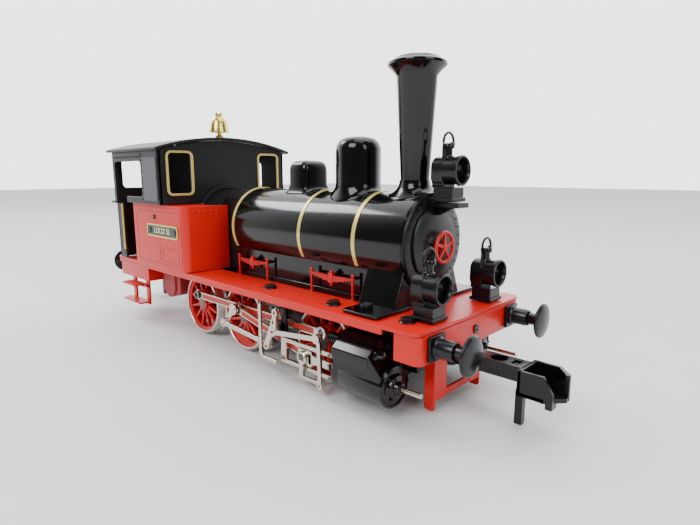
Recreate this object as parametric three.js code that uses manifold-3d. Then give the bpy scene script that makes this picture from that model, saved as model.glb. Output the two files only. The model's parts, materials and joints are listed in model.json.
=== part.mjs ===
// Gauge 1 (45 mm track) model of a small six-coupled side-tank steam locomotive.
// Millimetres. +X is the chimney end, +Z is up, Z = 0 is the bottom of the wheel flanges.
import * as THREE from 'three';
import Module from 'manifold-3d';
import { mergeVertices } from 'three/addons/utils/BufferGeometryUtils.js';

const wasm = await Module();
wasm.setup();

// ---------------------------------------------------------------- driving dimensions

const GAP = 0.3;
const RIGHT = -1;
const LEFT = 1;
const SIDES = [RIGHT, LEFT];

// running board
const DECK_TOP = 37.2;
const DECK_THICK = 1.2;
const DECK_HALF_WIDTH = 37.4;
const DECK_HALF_LENGTH = 118.4;
const DECK_CORNER = 4;
const LIP_DEPTH = 3.2;
const LIP_THICK = 1.2;
const LIP_FRONT_X = 103;
const WELL_HALF_WIDTH = 18;
const WELL_REAR_X = -46;
const WELL_FRONT_X = 77;
const SPRING_Y = 19.05;
const SPRING_HALF_WIDTH = 0.9;
const SPRING_TOP = 48.4;
const SPRING_LEAF_TOP = 46.4;
const SPRING_LEAF_STEP = 0.9;
const SPRING_BUCKLE_FOOT = 41.6;
const GUARD_IRON_Y = 17;
const SPRING_SPANS = [[-8, 15.2], [47.4, 72.4]];
const DRUM_INNER_Y = 18;
const DRUM_OUTER_Y = 30;
const DRUM_LOBES = [[-65.5, 24, 7], [-58.2, 23, 4]];

// buffers and beams
const BUFFER_Y = 27.35;
const BUFFER_Z = 31;
const BUFFER_HEAD_R = 7;
const BUFFER_FACE_X = 134;
const BUFFER_TRAVEL = 3;
const BEAM_HALF_WIDTH = 36;
const BEAM_BOTTOM = 25.4;
const BEAM_WALL = 1.4;
const BEAM_CORNER = 3;
const FRONT_BEAM_LENGTH = 11.5;
const REAR_BEAM_LENGTH = 40;

// couplers
const COUPLER_PIVOT_X = 108;
const COUPLER_TOP = 22.2;
const COUPLER_TIP_X = 154.2;
const COUPLER_HALF_WIDTH = 7.2;

// wheels and axles
const AXLE_X = { rear: -35.4, middle: 4.2, front: 62.2 };
const AXLE_Z = 17.7;
const AXLE_R = 2.4;
const TREAD_R = 16.5;
const FLANGE_R = 17.7;
const WHEEL_BACK_Y = 20;
const WHEEL_FACE_Y = 26.4;
const CRANK_R = 6.3;
const CRANK_ANGLE = { [RIGHT]: 75, [LEFT]: -15 };
const PIN_R = 1.3;
const PIN_CLEAR = 0.25;

// frame
const FRAME_HALF_WIDTH = 17;
const FRAME_WALL = 2.4;
const FRAME_BOTTOM = 7;
const FRAME_TOP = 35.7;
const FRAME_REAR_X = -76;
const FRAME_FRONT_X = 104;

// drive gear
const GEAR_TEETH = 20;
const GEAR_MODULE = 0.8;
const WORM_R = 4;
const WORM_LENGTH = 14;
const WORM_THREAD = 0.65;

// boiler
const BOILER_Z = 61.7;
const BOILER_R = 19.75;
const BOILER_REAR_X = -13.5;
const BOILER_FRONT_X = 97;
const BOILER_WALL = 1.8;
const FIREBOX_R = 18.3;
const SKIRT_HALF_WIDTH = 16.4;
const SKIRT_TOP = 51;
const THROAT_HALF_WIDTH = 11.2;
const BAND_X = [-11.7, 39.7, 73];
const CHIMNEY_X = 88.6;
const STEAM_DOME_X = 57.9;
const SAND_DOME_X = 25;

// tanks and cab
const TANK_REAR_X = -87.2;
const TANK_FRONT_X = -28.1;
const TANK_OUTER_Y = 38.4;
const TANK_INNER_Y = 11.7;
const TANK_TOP = 72.1;
const CAB_FRONT_X = -45.8;
const CAB_REAR_X = -104.5;
const CAB_HALF_WIDTH = 41.5;
const CAB_WALL = 1.5;
const BUNKER_REAR_X = -110;
const BUNKER_TOP = 71.2;
const ROOF_FRONT_X = -42.8;
const ROOF_REAR_X = -106.4;
const ROOF_HALF_WIDTH = 44;
const ROOF_EDGE_Z = 102.4;
const ROOF_CROWN_Z = 109;
const ROOF_THICK = 1.6;

// motion work, measured outwards from the centre line
const COUPLING_ROD_Y = 27.6;
const CONNECTING_ROD_Y = 30;
const RETURN_CRANK_Y = 32.4;
const ECCENTRIC_ROD_Y = 34;
const ROD_THICK = 1.8;
const CYLINDER_Y = 30.6;
const CYLINDER_Z = 13;
const CYLINDER_R = 7.9;
const CYLINDER_REAR_X = 79;
const CYLINDER_FRONT_X = 103.4;
const GLAND_POCKET_DEPTH = 3.2;
const CONNECTING_ROD_LENGTH = 53;
const LINK_X = 41;
const LINK_Z = 23;
const LINK_FOOT = 10.5;
const LINK_HORN = 8;
const ECCENTRIC_R = 4.8;
const ECCENTRIC_ROD_LENGTH = 37;
const OUTER_LINK_Y = 36;
const RADIUS_ROD_Y = 37.5;
const LEVER_X = 70.5;
const LEVER_TOP = 25;
const LEVER_LENGTH = 20;
const MID_STROKE_X = 57;
const NECK_START = 15.6;
const NECK_END = 17.2;

// ---------------------------------------------------------------- materials

const material = (color, roughness, metalness) => new THREE.MeshStandardMaterial({ color, roughness,
  metalness });
const red = () => material(0xd81a10, 0.35, 0.1);
const glossBlack = () => material(0x0b0b0d, 0.2, 0.0);
const satinBlack = () => material(0x17171a, 0.5, 0.0);
const nickel = () => material(0xb9b2a6, 0.3, 0.9);
const darkSteel = () => material(0x4a4a4e, 0.4, 0.9);
const brass = () => material(0xd9c063, 0.3, 0.9);

// ---------------------------------------------------------------- solid helpers

function solid(geometry) {
  const bare = geometry.clone();
  bare.deleteAttribute('normal');
  bare.deleteAttribute('uv');
  const merged = mergeVertices(bare, 1e-4);
  const vertProperties = new Float32Array(merged.attributes.position.array);
  const triVerts = new Uint32Array(merged.index.array);
  return new wasm.Manifold(new wasm.Mesh({ numProp: 3, vertProperties, triVerts }));
}

function toMesh(name, body, look) {
  const data = body.getMesh();
  const geometry = new THREE.BufferGeometry();
  geometry.setAttribute('position', new THREE.BufferAttribute(new Float32Array(data.vertProperties), 3));
  geometry.setIndex(new THREE.BufferAttribute(new Uint32Array(data.triVerts), 1));
  geometry.computeVertexNormals();
  const mesh = new THREE.Mesh(geometry, look);
  mesh.name = name;
  return mesh;
}

const join = (...bodies) => bodies.reduce((whole, piece) => whole.add(piece));
const cut = (body, ...tools) => tools.reduce((whole, tool) => whole.subtract(tool), body);

function block(x0, x1, y0, y1, z0, z1) {
  const geometry = new THREE.BoxGeometry(x1 - x0, Math.abs(y1 - y0), z1 - z0);
  geometry.translate((x0 + x1) / 2, (y0 + y1) / 2, (z0 + z1) / 2);
  return solid(geometry);
}

function rodX(x0, x1, y, z, radius, segments = 14, endRadius = radius) {
  const geometry = new THREE.CylinderGeometry(endRadius, radius, x1 - x0, segments);
  geometry.rotateZ(-Math.PI / 2);
  geometry.translate((x0 + x1) / 2, y, z);
  return solid(geometry);
}

function rodY(x, y0, y1, z, radius, segments = 14) {
  const geometry = new THREE.CylinderGeometry(radius, radius, Math.abs(y1 - y0), segments);
  geometry.translate(0, (y0 + y1) / 2, 0);
  geometry.translate(x, 0, z);
  return solid(geometry);
}

function rodZ(x, y, z0, z1, radius, segments = 14, topRadius = radius) {
  const geometry = new THREE.CylinderGeometry(topRadius, radius, z1 - z0, segments);
  geometry.rotateX(Math.PI / 2);
  geometry.translate(x, y, (z0 + z1) / 2);
  return solid(geometry);
}

const toShape = (points) => new THREE.Shape(points.map(([a, b]) => new THREE.Vector2(a, b)));

// shape drawn in X and Y, raised along Z
function slabXY(shape, z0, z1, curveSegments = 3) {
  const geometry = new THREE.ExtrudeGeometry(shape, { depth: z1 - z0, bevelEnabled: false, curveSegments });
  geometry.translate(0, 0, z0);
  return solid(geometry);
}

// shape drawn in X and Z, its two faces at y0 and y1
function slabXZ(shape, y0, y1, curveSegments = 3) {
  const depth = Math.abs(y1 - y0);
  const geometry = new THREE.ExtrudeGeometry(shape, { depth, bevelEnabled: false, curveSegments });
  geometry.rotateX(Math.PI / 2);
  geometry.translate(0, Math.max(y0, y1), 0);
  return solid(geometry);
}

// shape drawn in Y and Z, its two faces at x0 and x1
function slabYZ(shape, x0, x1, curveSegments = 3) {
  const geometry = new THREE.ExtrudeGeometry(shape, { depth: x1 - x0, bevelEnabled: false, curveSegments });
  geometry.rotateY(Math.PI / 2);
  geometry.rotateX(Math.PI / 2);
  geometry.translate(x0, 0, 0);
  return solid(geometry);
}

// closed outline of [radius, height] points turned about the vertical line through x, y
function turnedZ(points, x, y, segments = 18) {
  const geometry = new THREE.LatheGeometry(points.map(([r, h]) => new THREE.Vector2(r, h)), segments);
  geometry.rotateX(Math.PI / 2);
  geometry.translate(x, y, 0);
  return solid(geometry);
}

// closed outline of [radius, distance along X] points turned about a line along X
function turnedX(points, y, z, segments = 18) {
  const geometry = new THREE.LatheGeometry(points.map(([r, h]) => new THREE.Vector2(r, h)), segments);
  geometry.rotateZ(-Math.PI / 2);
  geometry.translate(0, y, z);
  return solid(geometry);
}

function roundedRect(x0, x1, y0, y1, r) {
  const shape = new THREE.Shape();
  shape.moveTo(x0 + r, y0);
  shape.lineTo(x1 - r, y0);
  shape.absarc(x1 - r, y0 + r, r, -Math.PI / 2, 0, false);
  shape.lineTo(x1, y1 - r);
  shape.absarc(x1 - r, y1 - r, r, 0, Math.PI / 2, false);
  shape.lineTo(x0 + r, y1);
  shape.absarc(x0 + r, y1 - r, r, Math.PI / 2, Math.PI, false);
  shape.lineTo(x0, y0 + r);
  shape.absarc(x0 + r, y0 + r, r, Math.PI, Math.PI * 1.5, false);
  return shape;
}

const radians = (degrees) => degrees * Math.PI / 180;
const crankPoint = (axleX, side, radius = CRANK_R, turn = 0) => [
  axleX + radius * Math.cos(radians(CRANK_ANGLE[side] + turn)),
  AXLE_Z + radius * Math.sin(radians(CRANK_ANGLE[side] + turn)),
];

// ---------------------------------------------------------------- running board

// stepped leaves between two posts, held by a buckle in the middle
function leafSpring([rearX, frontX], side) {
  const y = side * SPRING_Y;
  const inside = y - SPRING_HALF_WIDTH;
  const outside = y + SPRING_HALF_WIDTH;
  const middle = (rearX + frontX) / 2;
  const half = (frontX - rearX) / 2;
  const steps = [1, 0.78, 0.5].flatMap((share, index) => {
    const top = SPRING_LEAF_TOP - index * SPRING_LEAF_STEP;
    return [[share, top], [share, top - SPRING_LEAF_STEP]];
  });
  const ahead = steps.map(([share, z]) => [middle + half * share, z]);
  const behind = steps.reverse().map(([share, z]) => [middle - half * share, z]);
  const leaves = slabXZ(toShape([...ahead, ...behind]), inside, outside);
  const foot = DECK_TOP - DECK_THICK / 2;
  const posts = [rearX, frontX].map((x) => rodZ(x, y, foot, SPRING_TOP, SPRING_HALF_WIDTH, 6));
  const buckle = block(middle - 1.5, middle + 1.5, inside, outside, SPRING_BUCKLE_FOOT, SPRING_TOP - 1);
  return join(leaves, ...posts, buckle);
}

// round-bottomed plate hanging under the deck behind the rear wheels
function underDeckDrum(side) {
  const inner = side * DRUM_INNER_Y;
  const outer = side * DRUM_OUTER_Y;
  const top = DECK_TOP - DECK_THICK / 2;
  const lobes = DRUM_LOBES.map(([x, z, r]) => {
    const round = rodY(x, inner, outer, z, r, 16);
    return join(round, block(x - r, x + r, inner, outer, z, top));
  });
  return join(...lobes);
}

function runningBoard() {
  const outline = roundedRect(-DECK_HALF_LENGTH, DECK_HALF_LENGTH, -DECK_HALF_WIDTH, DECK_HALF_WIDTH,
    DECK_CORNER);
  const plate = slabXY(outline, DECK_TOP - DECK_THICK, DECK_TOP);
  const well = block(WELL_REAR_X, WELL_FRONT_X, -WELL_HALF_WIDTH, WELL_HALF_WIDTH, DECK_TOP - 2,
    DECK_TOP + 1);
  const lips = SIDES.map((side) => block(-DECK_HALF_LENGTH + DECK_CORNER, LIP_FRONT_X,
    side * (DECK_HALF_WIDTH - LIP_THICK), side * DECK_HALF_WIDTH, DECK_TOP - LIP_DEPTH - 0.2,
      DECK_TOP - 0.4));
  const springs = SIDES.flatMap((side) => SPRING_SPANS.map((ends) => leafSpring(ends, side)));
  return join(cut(plate, well), ...lips, ...springs, ...SIDES.map(underDeckDrum));
}

// ---------------------------------------------------------------- buffer beams, steps, guard irons

function beamShell(outerX, innerX) {
  const [x0, x1] = [Math.min(outerX, innerX), Math.max(outerX, innerX)];
  const top = DECK_TOP - DECK_THICK - GAP;
  const outside = slabXY(roundedRect(x0, x1, -BEAM_HALF_WIDTH, BEAM_HALF_WIDTH, BEAM_CORNER),
    BEAM_BOTTOM, top);
  const keepFront = outerX > 0;
  const cavityX0 = keepFront ? x0 - 1 : x0 + BEAM_WALL;
  const cavityX1 = keepFront ? x1 - BEAM_WALL : x1 + 1;
  const insideY = BEAM_HALF_WIDTH - BEAM_WALL;
  const cavity = block(cavityX0, cavityX1, -insideY, insideY, BEAM_BOTTOM - 1, top + 1);
  return cut(outside, cavity);
}

function frontBeam() {
  const screw = rodX(DECK_HALF_LENGTH - 1, DECK_HALF_LENGTH + 0.7, 0, 30.8, 1.7, 12);
  return join(beamShell(DECK_HALF_LENGTH, DECK_HALF_LENGTH - FRONT_BEAM_LENGTH), screw);
}

function stepSet(side) {
  const y = side * 33.6;
  const outer = side * 40.4;
  const hangers = [-103, -85].map((x) => block(x - 2, x + 2, y - 0.6, y + 0.6, 11, BEAM_BOTTOM + 2));
  const treads = [[-107, -89, 21.2], [-107, -83, 11.2]].map(([x0, x1, z]) => block(x0, x1, y, outer, z,
    z + 1));
  const brackets = [-103, -89.5].map((x) => block(x - 0.5, x + 0.5, y, outer - side, 20.4, 21.4));
  const tie = block(-105, -83, y - 0.6, y + 0.6, 20.4, 22.4);
  const rail = block(-107, -83, y - 0.6, y + 0.6, 11, 13.5);
  return join(tie, rail, ...hangers, ...treads, ...brackets);
}

function rearBeam() {
  const shell = beamShell(-DECK_HALF_LENGTH, -DECK_HALF_LENGTH + REAR_BEAM_LENGTH);
  const flangeX = -DECK_HALF_LENGTH + REAR_BEAM_LENGTH;
  const flanges = SIDES.map((side) => block(flangeX - BEAM_WALL, flangeX,
    side * 20, side * (BEAM_HALF_WIDTH - 1), BEAM_BOTTOM, DECK_TOP - DECK_THICK - GAP));
  const ties = SIDES.map((side) => block(-106, flangeX, side * 32.4, side * 35, BEAM_BOTTOM,
    BEAM_BOTTOM + 2));
  const screw = rodX(-DECK_HALF_LENGTH - 0.7, -DECK_HALF_LENGTH + 1, 0, 30.8, 1.7, 12);
  return join(shell, ...flanges, ...ties, ...SIDES.map(stepSet), screw);
}

function guardIrons() {
  const legs = SIDES.map((side) => {
    const cheek = toShape([[107.6, 1.5], [108.4, 1], [111.2, 1], [112, 1.5], [112, 27], [107.6, 27]]);
    const edge = side * GUARD_IRON_Y;
    const sidePlate = slabXZ(cheek, edge - side * 1.2, edge);
    const facePlate = block(110.8, 112, edge, side * 8.4, 4.6, 27);
    return join(sidePlate, facePlate);
  });
  const bar = block(110.8, 112, 1 - GUARD_IRON_Y, GUARD_IRON_Y - 1, 4.8, 7.6);
  const hanger = block(107.6, 112, -GUARD_IRON_Y, GUARD_IRON_Y, 26, 27.4);
  return join(hanger, bar, ...legs);
}

// ---------------------------------------------------------------- buffers and couplers

function bufferHousing(end, side) {
  const y = side * BUFFER_Y;
  const plateX = DECK_HALF_LENGTH + GAP;
  const plate = block(plateX, plateX + 1.2, y - 4.6, y + 4.6, BUFFER_Z - 4.7, BUFFER_Z + 4.3);
  const barrel = rodX(plateX + 0.8, 127, y, BUFFER_Z, 3.4, 20);
  const bore = rodX(plateX + 1, 128, y, BUFFER_Z, 2.75, 20);
  const body = cut(join(plate, barrel), bore);
  return end > 0 ? body : body.rotate([0, 0, 180]);
}

function bufferPlunger(end, side) {
  const y = side * BUFFER_Y;
  const dome = [[0, 122.9], [2.5, 122.9], [2.5, 131.4], [BUFFER_HEAD_R, 132.1], [BUFFER_HEAD_R, 132.9]];
  for (let step = 2; step >= 0; step -= 1) {
    const r = BUFFER_HEAD_R * step / 3;
    dome.push([r, BUFFER_FACE_X - 1.1 * (r / BUFFER_HEAD_R) ** 2]);
  }
  const body = turnedX(dome, y, BUFFER_Z, 18);
  return end > 0 ? body : body.rotate([0, 0, 180]);
}

function coupler(end) {
  const half = COUPLER_HALF_WIDTH;
  const floor = 13;
  const plan = [[139, -half], [148.8, -half], [COUPLER_TIP_X, -1.4], [COUPLER_TIP_X, 1.4], [148.8,
    half], [139, half]];
  const inner = [[140.4, -half + 1.3], [148.2, -half + 1.3], [152.4, -1], [152.4, 1], [148.2, half - 1.3],
    [140.4, half - 1.3]];
  const head = slabXY(toShape(plan), floor, COUPLER_TOP);
  const pocket = slabXY(toShape(inner), floor + 1.6, COUPLER_TOP + 1);
  const mouthCut = slabXZ(toShape([[148.6, 23.5], [157, 23.5], [157, 15.4], [152.6, 15.4]]), -half - 1, -0.2);
  const ramp = slabXZ(toShape([[144, floor + 1], [152.8, floor + 1], [152.8, 20.6]]), 0.4, 4.4);
  const bar = block(109.5, 140, -4.2, 4.2, 16.6, 22);
  const barRecess = rodZ(128.6, 0, 19.4, 23, 3.2, 12);
  const slot = block(133.2, 137.6, -2.6, 2.6, 19.2, 23);
  const eye = rodZ(COUPLER_PIVOT_X, 0, 16.6, 22, 3.7, 14);
  const hole = rodZ(COUPLER_PIVOT_X, 0, 15, 24, 1.75, 14);
  const lug = block(137.6, 140.4, -4.6, -1.8, 1.2, floor + 1);
  const peg = rodZ(147, -3.6, floor - 1.4, floor + 0.5, 1.2, 8);
  const lip = block(148.6, 151, -5.6, -1.4, 10.4, floor + 0.8);
  const body = join(cut(join(head, bar, eye), pocket, barRecess, slot, hole), ramp, lug, peg, lip);
  const open = cut(body, mouthCut);
  return end > 0 ? open : open.rotate([0, 0, 180]);
}

// ---------------------------------------------------------------- frame and drive

function frame() {
  const w = FRAME_HALF_WIDTH;
  const outside = block(FRAME_REAR_X, FRAME_FRONT_X, -w, w, FRAME_BOTTOM, FRAME_TOP);
  const inside = block(FRAME_REAR_X + 3, FRAME_FRONT_X - 3, -w + FRAME_WALL, w - FRAME_WALL,
    FRAME_BOTTOM + 1.6, FRAME_TOP + 1);
  const axleHoles = Object.values(AXLE_X).map((x) => rodY(x, -w - 1, w + 1, AXLE_Z, AXLE_R + 0.1, 14));
  const rearSteps = block(FRAME_REAR_X - 1, -66, -w - 1, w + 1, FRAME_BOTTOM - 1, 16);
  const frontStep = block(92, FRAME_FRONT_X + 1, -w - 1, w + 1, FRAME_BOTTOM - 1, 14);
  const shell = cut(outside, inside, ...axleHoles, rearSteps, frontStep);
  const stretchers = [[-66, -62], [88, 92]].map(([x0, x1]) => block(x0, x1, -w + 1, w - 1, FRAME_BOTTOM, 20));
  const closing = block(FRAME_REAR_X, -64, -w, w, 16, 18);
  const nose = block(90, FRAME_FRONT_X, -w, w, 14, 16);
  const tongues = [1, -1].map((end) => {
    const root = end > 0 ? FRAME_FRONT_X - 2 : FRAME_REAR_X + 2;
    const [x0, x1] = [Math.min(root, end * 113), Math.max(root, end * 113)];
    const shelf = block(x0, x1, -6, 6, 22.4 + 0.3, 24.6);
    const pin = rodZ(end * COUPLER_PIVOT_X, 0, 15.2, 23.4, 1.5, 14);
    const washer = rodZ(end * COUPLER_PIVOT_X, 0, 14.6, 16.3, 2.8, 14);
    return join(shelf, pin, washer);
  });
  return join(shell, closing, nose, ...stretchers, ...tongues);
}

function motor() {
  const axisZ = AXLE_Z + GEAR_MODULE * GEAR_TEETH / 2 + WORM_R;
  const can = rodX(-40, -10, 0, axisZ, 9, 18);
  const sides = block(-70, -10, -9.6, 9.6, axisZ - 7.4, axisZ + 7.4);
  const flat = can.intersect(sides);
  const backCap = rodX(-42.4, -39.6, 0, axisZ, 6, 12);
  const boss = rodX(-10.4, -8, 0, axisZ, 3, 12);
  const bore = rodX(-30, -6, 0, axisZ, 1.3, 12);
  return cut(join(flat, backCap, boss), bore);
}

// worm: an off-centre disc swept along X while it turns once for every thread
function wormShaft() {
  const axisZ = AXLE_Z + GEAR_MODULE * GEAR_TEETH / 2 + WORM_R;
  const lead = Math.PI * GEAR_MODULE;
  const disc = new THREE.Shape();
  disc.absarc(WORM_THREAD, 0, WORM_R - 0.25, 0, Math.PI * 2, false);
  const steps = Math.round(WORM_LENGTH / lead * 5);
  const geometry = new THREE.ExtrudeGeometry(disc, { depth: WORM_LENGTH, steps, bevelEnabled: false,
    curveSegments: 5 });
  const place = geometry.attributes.position;
  for (let i = 0; i < place.count; i += 1) {
    const turn = place.getZ(i) / lead * Math.PI * 2;
    const [x, y] = [place.getX(i), place.getY(i)];
    place.setX(i, x * Math.cos(turn) - y * Math.sin(turn));
    place.setY(i, x * Math.sin(turn) + y * Math.cos(turn));
  }
  geometry.rotateY(Math.PI / 2);
  geometry.translate(AXLE_X.middle - WORM_LENGTH / 2, 0, axisZ);
  const shaft = rodX(-28, AXLE_X.middle + WORM_LENGTH / 2 + 3, 0, axisZ, 1.2, 12);
  return join(solid(geometry), shaft);
}

function axle(which) {
  const x = AXLE_X[which];
  const body = rodY(x, -WHEEL_BACK_Y + 0.2 - 4, WHEEL_BACK_Y - 0.2 + 4, AXLE_Z, AXLE_R, 14);
  const collars = SIDES.map((side) => rodY(x, side * 17.6, side * 19.6, AXLE_Z, 3.4, 8));
  if (which !== 'middle') return join(body, ...collars);
  const pitch = GEAR_MODULE * GEAR_TEETH / 2;
  const points = [];
  for (let tooth = 0; tooth < GEAR_TEETH; tooth += 1) {
    const start = tooth / GEAR_TEETH * Math.PI * 2;
    const step = Math.PI * 2 / GEAR_TEETH;
    for (const [share, radius] of [[-0.32, pitch - 0.9], [0, pitch + 0.05], [0.32, pitch - 0.9]]) {
      const angle = start + share * step;
      points.push([radius * Math.sin(angle), radius * Math.cos(angle)]);
    }
  }
  const gear = slabXZ(toShape(points), -2.5, 2.5).translate([x, 0, AXLE_Z]);
  return join(body, gear, ...collars);
}

// ---------------------------------------------------------------- wheels

function wheel(which, side) {
  const x = AXLE_X[which];
  const rim = [[13.6, WHEEL_BACK_Y], [FLANGE_R, WHEEL_BACK_Y], [FLANGE_R, 21], [TREAD_R + 0.1, 21.6],
    [TREAD_R - 0.1, WHEEL_FACE_Y], [13.6, WHEEL_FACE_Y], [13.6, WHEEL_BACK_Y]];
  const ring = new THREE.LatheGeometry(rim.map(([r, h]) => new THREE.Vector2(r, h)), 24);
  const parts = [solid(ring)];
  for (let spoke = 0; spoke < 12; spoke += 1) {
    const bar = new THREE.BoxGeometry(11.5, 2.6, 1.25);
    bar.translate(8.4, 24, 0);
    bar.rotateY(-spoke * Math.PI / 6);
    parts.push(solid(bar));
  }
  parts.push(solid(new THREE.CylinderGeometry(4, 4, 5.8, 8).translate(0, 23.2, 0)));
  parts.push(solid(new THREE.CylinderGeometry(2.7, 2.7, 3.4, 8).translate(CRANK_R, 24.9, 0)));
  parts.push(solid(new THREE.BoxGeometry(CRANK_R, 3.2, 4.6).translate(CRANK_R / 2, 24.4, 0)));
  if (which === 'middle') {
    const weight = new THREE.Shape();
    weight.absarc(0, 0, 13.9, Math.PI * 0.73, Math.PI * 1.27, false);
    parts.push(slabXZ(weight, 22.7, 25.7, 4));
  }
  const pinEnd = which === 'middle' ? RETURN_CRANK_Y + 0.6 : COUPLING_ROD_Y + ROD_THICK + 0.1;
  parts.push(solid(new THREE.CylinderGeometry(PIN_R, PIN_R, pinEnd - 24, 12).translate(CRANK_R,
    (pinEnd + 24) / 2, 0)));
  if (which === 'rear') {
    parts.push(solid(new THREE.CylinderGeometry(2.3, 2.3, 0.9, 8).translate(CRANK_R, pinEnd + 0.7, 0)));
    parts.push(solid(new THREE.CylinderGeometry(PIN_R, PIN_R, 1, 12).translate(CRANK_R, pinEnd, 0)));
  }
  const hole = solid(new THREE.CylinderGeometry(AXLE_R + 0.08, AXLE_R + 0.08, 8, 14).translate(0, 20.3, 0));
  let body = cut(join(...parts), hole);
  if (side < 0) body = body.mirror([0, 1, 0]);
  return body.rotate([0, -CRANK_ANGLE[side], 0]).translate([x, 0, AXLE_Z]);
}

// ---------------------------------------------------------------- rods and valve gear

// bar between two points in X and Z with a round boss at each end
function link(a, b, halfHeight, bossA, bossB, y0, y1, holes = []) {
  const dx = b[0] - a[0];
  const dz = b[1] - a[1];
  const length = Math.hypot(dx, dz);
  const nx = -dz / length * halfHeight;
  const nz = dx / length * halfHeight;
  const bar = slabXZ(toShape([[a[0] - nx, a[1] - nz], [b[0] - nx, b[1] - nz], [b[0] + nx, b[1] + nz],
    [a[0] + nx, a[1] + nz]]), y0, y1);
  const bosses = [[a, bossA], [b, bossB]].filter(([, r]) => r > 0)
    .map(([[x, z], r]) => rodY(x, y0, y1, z, r, 12));
  const cuts = holes.map(([x, z, r]) => rodY(x, Math.min(y0, y1) - 1, Math.max(y0, y1) + 1, z, r, 10));
  return cut(join(bar, ...bosses), ...cuts);
}

function couplingRod(side) {
  const y0 = side * COUPLING_ROD_Y;
  const y1 = side * (COUPLING_ROD_Y + ROD_THICK);
  const [rear, middle, front] = ['rear', 'middle', 'front'].map((which) => crankPoint(AXLE_X[which], side));
  const r = PIN_R + PIN_CLEAR;
  const bores = [rear, middle, front].map(([x, z]) => [x, z, r]);
  const back = link(rear, middle, 1.9, 2.7, 2.9, y0, y1, bores);
  const ahead = link(middle, front, 1.9, 2.9, 2.7, y0, y1, bores);
  const recess = [[rear, middle], [middle, front]].map(([a, b]) => block(a[0] + 4.2, b[0] - 4.2,
    side * (COUPLING_ROD_Y + ROD_THICK - 0.4), side * (COUPLING_ROD_Y + ROD_THICK + 1), a[1] - 1.1,
      a[1] + 1.1));
  return cut(join(back, ahead), ...recess);
}

function crossheadX(side) {
  const [x, z] = crankPoint(AXLE_X.middle, side);
  return x + Math.sqrt(CONNECTING_ROD_LENGTH ** 2 - (z - CYLINDER_Z) ** 2);
}

function connectingRod(side) {
  const y0 = side * CONNECTING_ROD_Y;
  const y1 = side * (CONNECTING_ROD_Y + ROD_THICK);
  const big = crankPoint(AXLE_X.middle, side);
  const small = [crossheadX(side), CYLINDER_Z];
  return link(big, small, 1.8, 3.1, 2.4, y0, y1, [[...big, PIN_R + PIN_CLEAR], [...small, PIN_R + 0.4]]);
}

const eccentricPoint = (side) => crankPoint(AXLE_X.middle, side, ECCENTRIC_R, 122);

// angle of the expansion link from upright that lets its foot meet the eccentric rod
function linkTilt(side) {
  const [x, z] = eccentricPoint(side);
  const dx = x - LINK_X;
  const dz = z - LINK_Z;
  const span = Math.hypot(dx, dz);
  const corner = Math.acos((span ** 2 + LINK_FOOT ** 2 - ECCENTRIC_ROD_LENGTH ** 2) / (2 * span * LINK_FOOT));
  return Math.atan2(-dx, -dz) - corner;
}

const linkPoint = (side, distance) => [
  LINK_X - distance * Math.sin(linkTilt(side)),
  LINK_Z - distance * Math.cos(linkTilt(side)),
];

function returnCrank(side) {
  const y0 = side * RETURN_CRANK_Y;
  const y1 = side * (RETURN_CRANK_Y + 1.3);
  const pin = crankPoint(AXLE_X.middle, side);
  const outer = eccentricPoint(side);
  const arm = link(pin, outer, 1.5, 3, 2, y0, y1);
  const socket = rodY(pin[0], side * (RETURN_CRANK_Y - 1), side * (RETURN_CRANK_Y + 0.75), pin[1],
    PIN_R + 0.08, 12);
  const stub = rodY(outer[0], y1 - side * 0.5, side * (ECCENTRIC_ROD_Y + ROD_THICK), outer[1], 1.1, 12);
  return cut(join(arm, stub), socket);
}

function eccentricRod(side) {
  const y0 = side * ECCENTRIC_ROD_Y;
  const y1 = side * (ECCENTRIC_ROD_Y + 1.5);
  const a = eccentricPoint(side);
  const b = linkPoint(side, LINK_FOOT);
  return link(a, b, 1.2, 2.2, 1.6, y0, y1, [[...a, 1.35], [...b, 0.9]]);
}

// slotted, curved link that rocks on its trunnion
function expansionLink(side) {
  const foot = linkPoint(side, LINK_FOOT);
  const horn = linkPoint(side, -LINK_HORN);
  const y0 = side * OUTER_LINK_Y;
  const y1 = side * (OUTER_LINK_Y + 1.2);
  const body = link(foot, horn, 1.9, 1.6, 2.2, y0, y1);
  const slotTop = linkPoint(side, 1 - LINK_HORN);
  const slotBottom = linkPoint(side, -2.4);
  const slot = link(slotBottom, slotTop, 0.7, 0, 0, y0 - side, y1 + side);
  const trunnionHole = rodY(LINK_X, y0 - side, y1 + side, LINK_Z, 1.25, 12);
  return cut(body, slot, trunnionHole);
}

function radiusRod(side) {
  const y0 = side * RADIUS_ROD_Y;
  const y1 = side * (RADIUS_ROD_Y + 1.1);
  const rear = [LINK_X + 2, LINK_Z - 1.2];
  const front = [LEVER_X, LEVER_TOP];
  const bar = link(rear, front, 1.1, 2, 2, y0, y1);
  const lifterFoot = [LINK_X + 4, LINK_Z - 0.5];
  const lifterHead = [LINK_X + 4, LINK_Z + 7.6];
  const lifter = link(lifterFoot, lifterHead, 0.8, 0, 1.7, y0, y1, [[...lifterHead, 0.8]]);
  return join(bar, lifter);
}

function combinationLever(side) {
  const offset = crossheadX(side) - MID_STROKE_X;
  const foot = [LEVER_X + offset, LEVER_TOP - Math.sqrt(LEVER_LENGTH ** 2 - offset ** 2)];
  const y0 = side * OUTER_LINK_Y;
  const y1 = side * (OUTER_LINK_Y + 1.2);
  return link([LEVER_X, LEVER_TOP], foot, 1, 1.8, 1.5, y0, y1);
}

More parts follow.
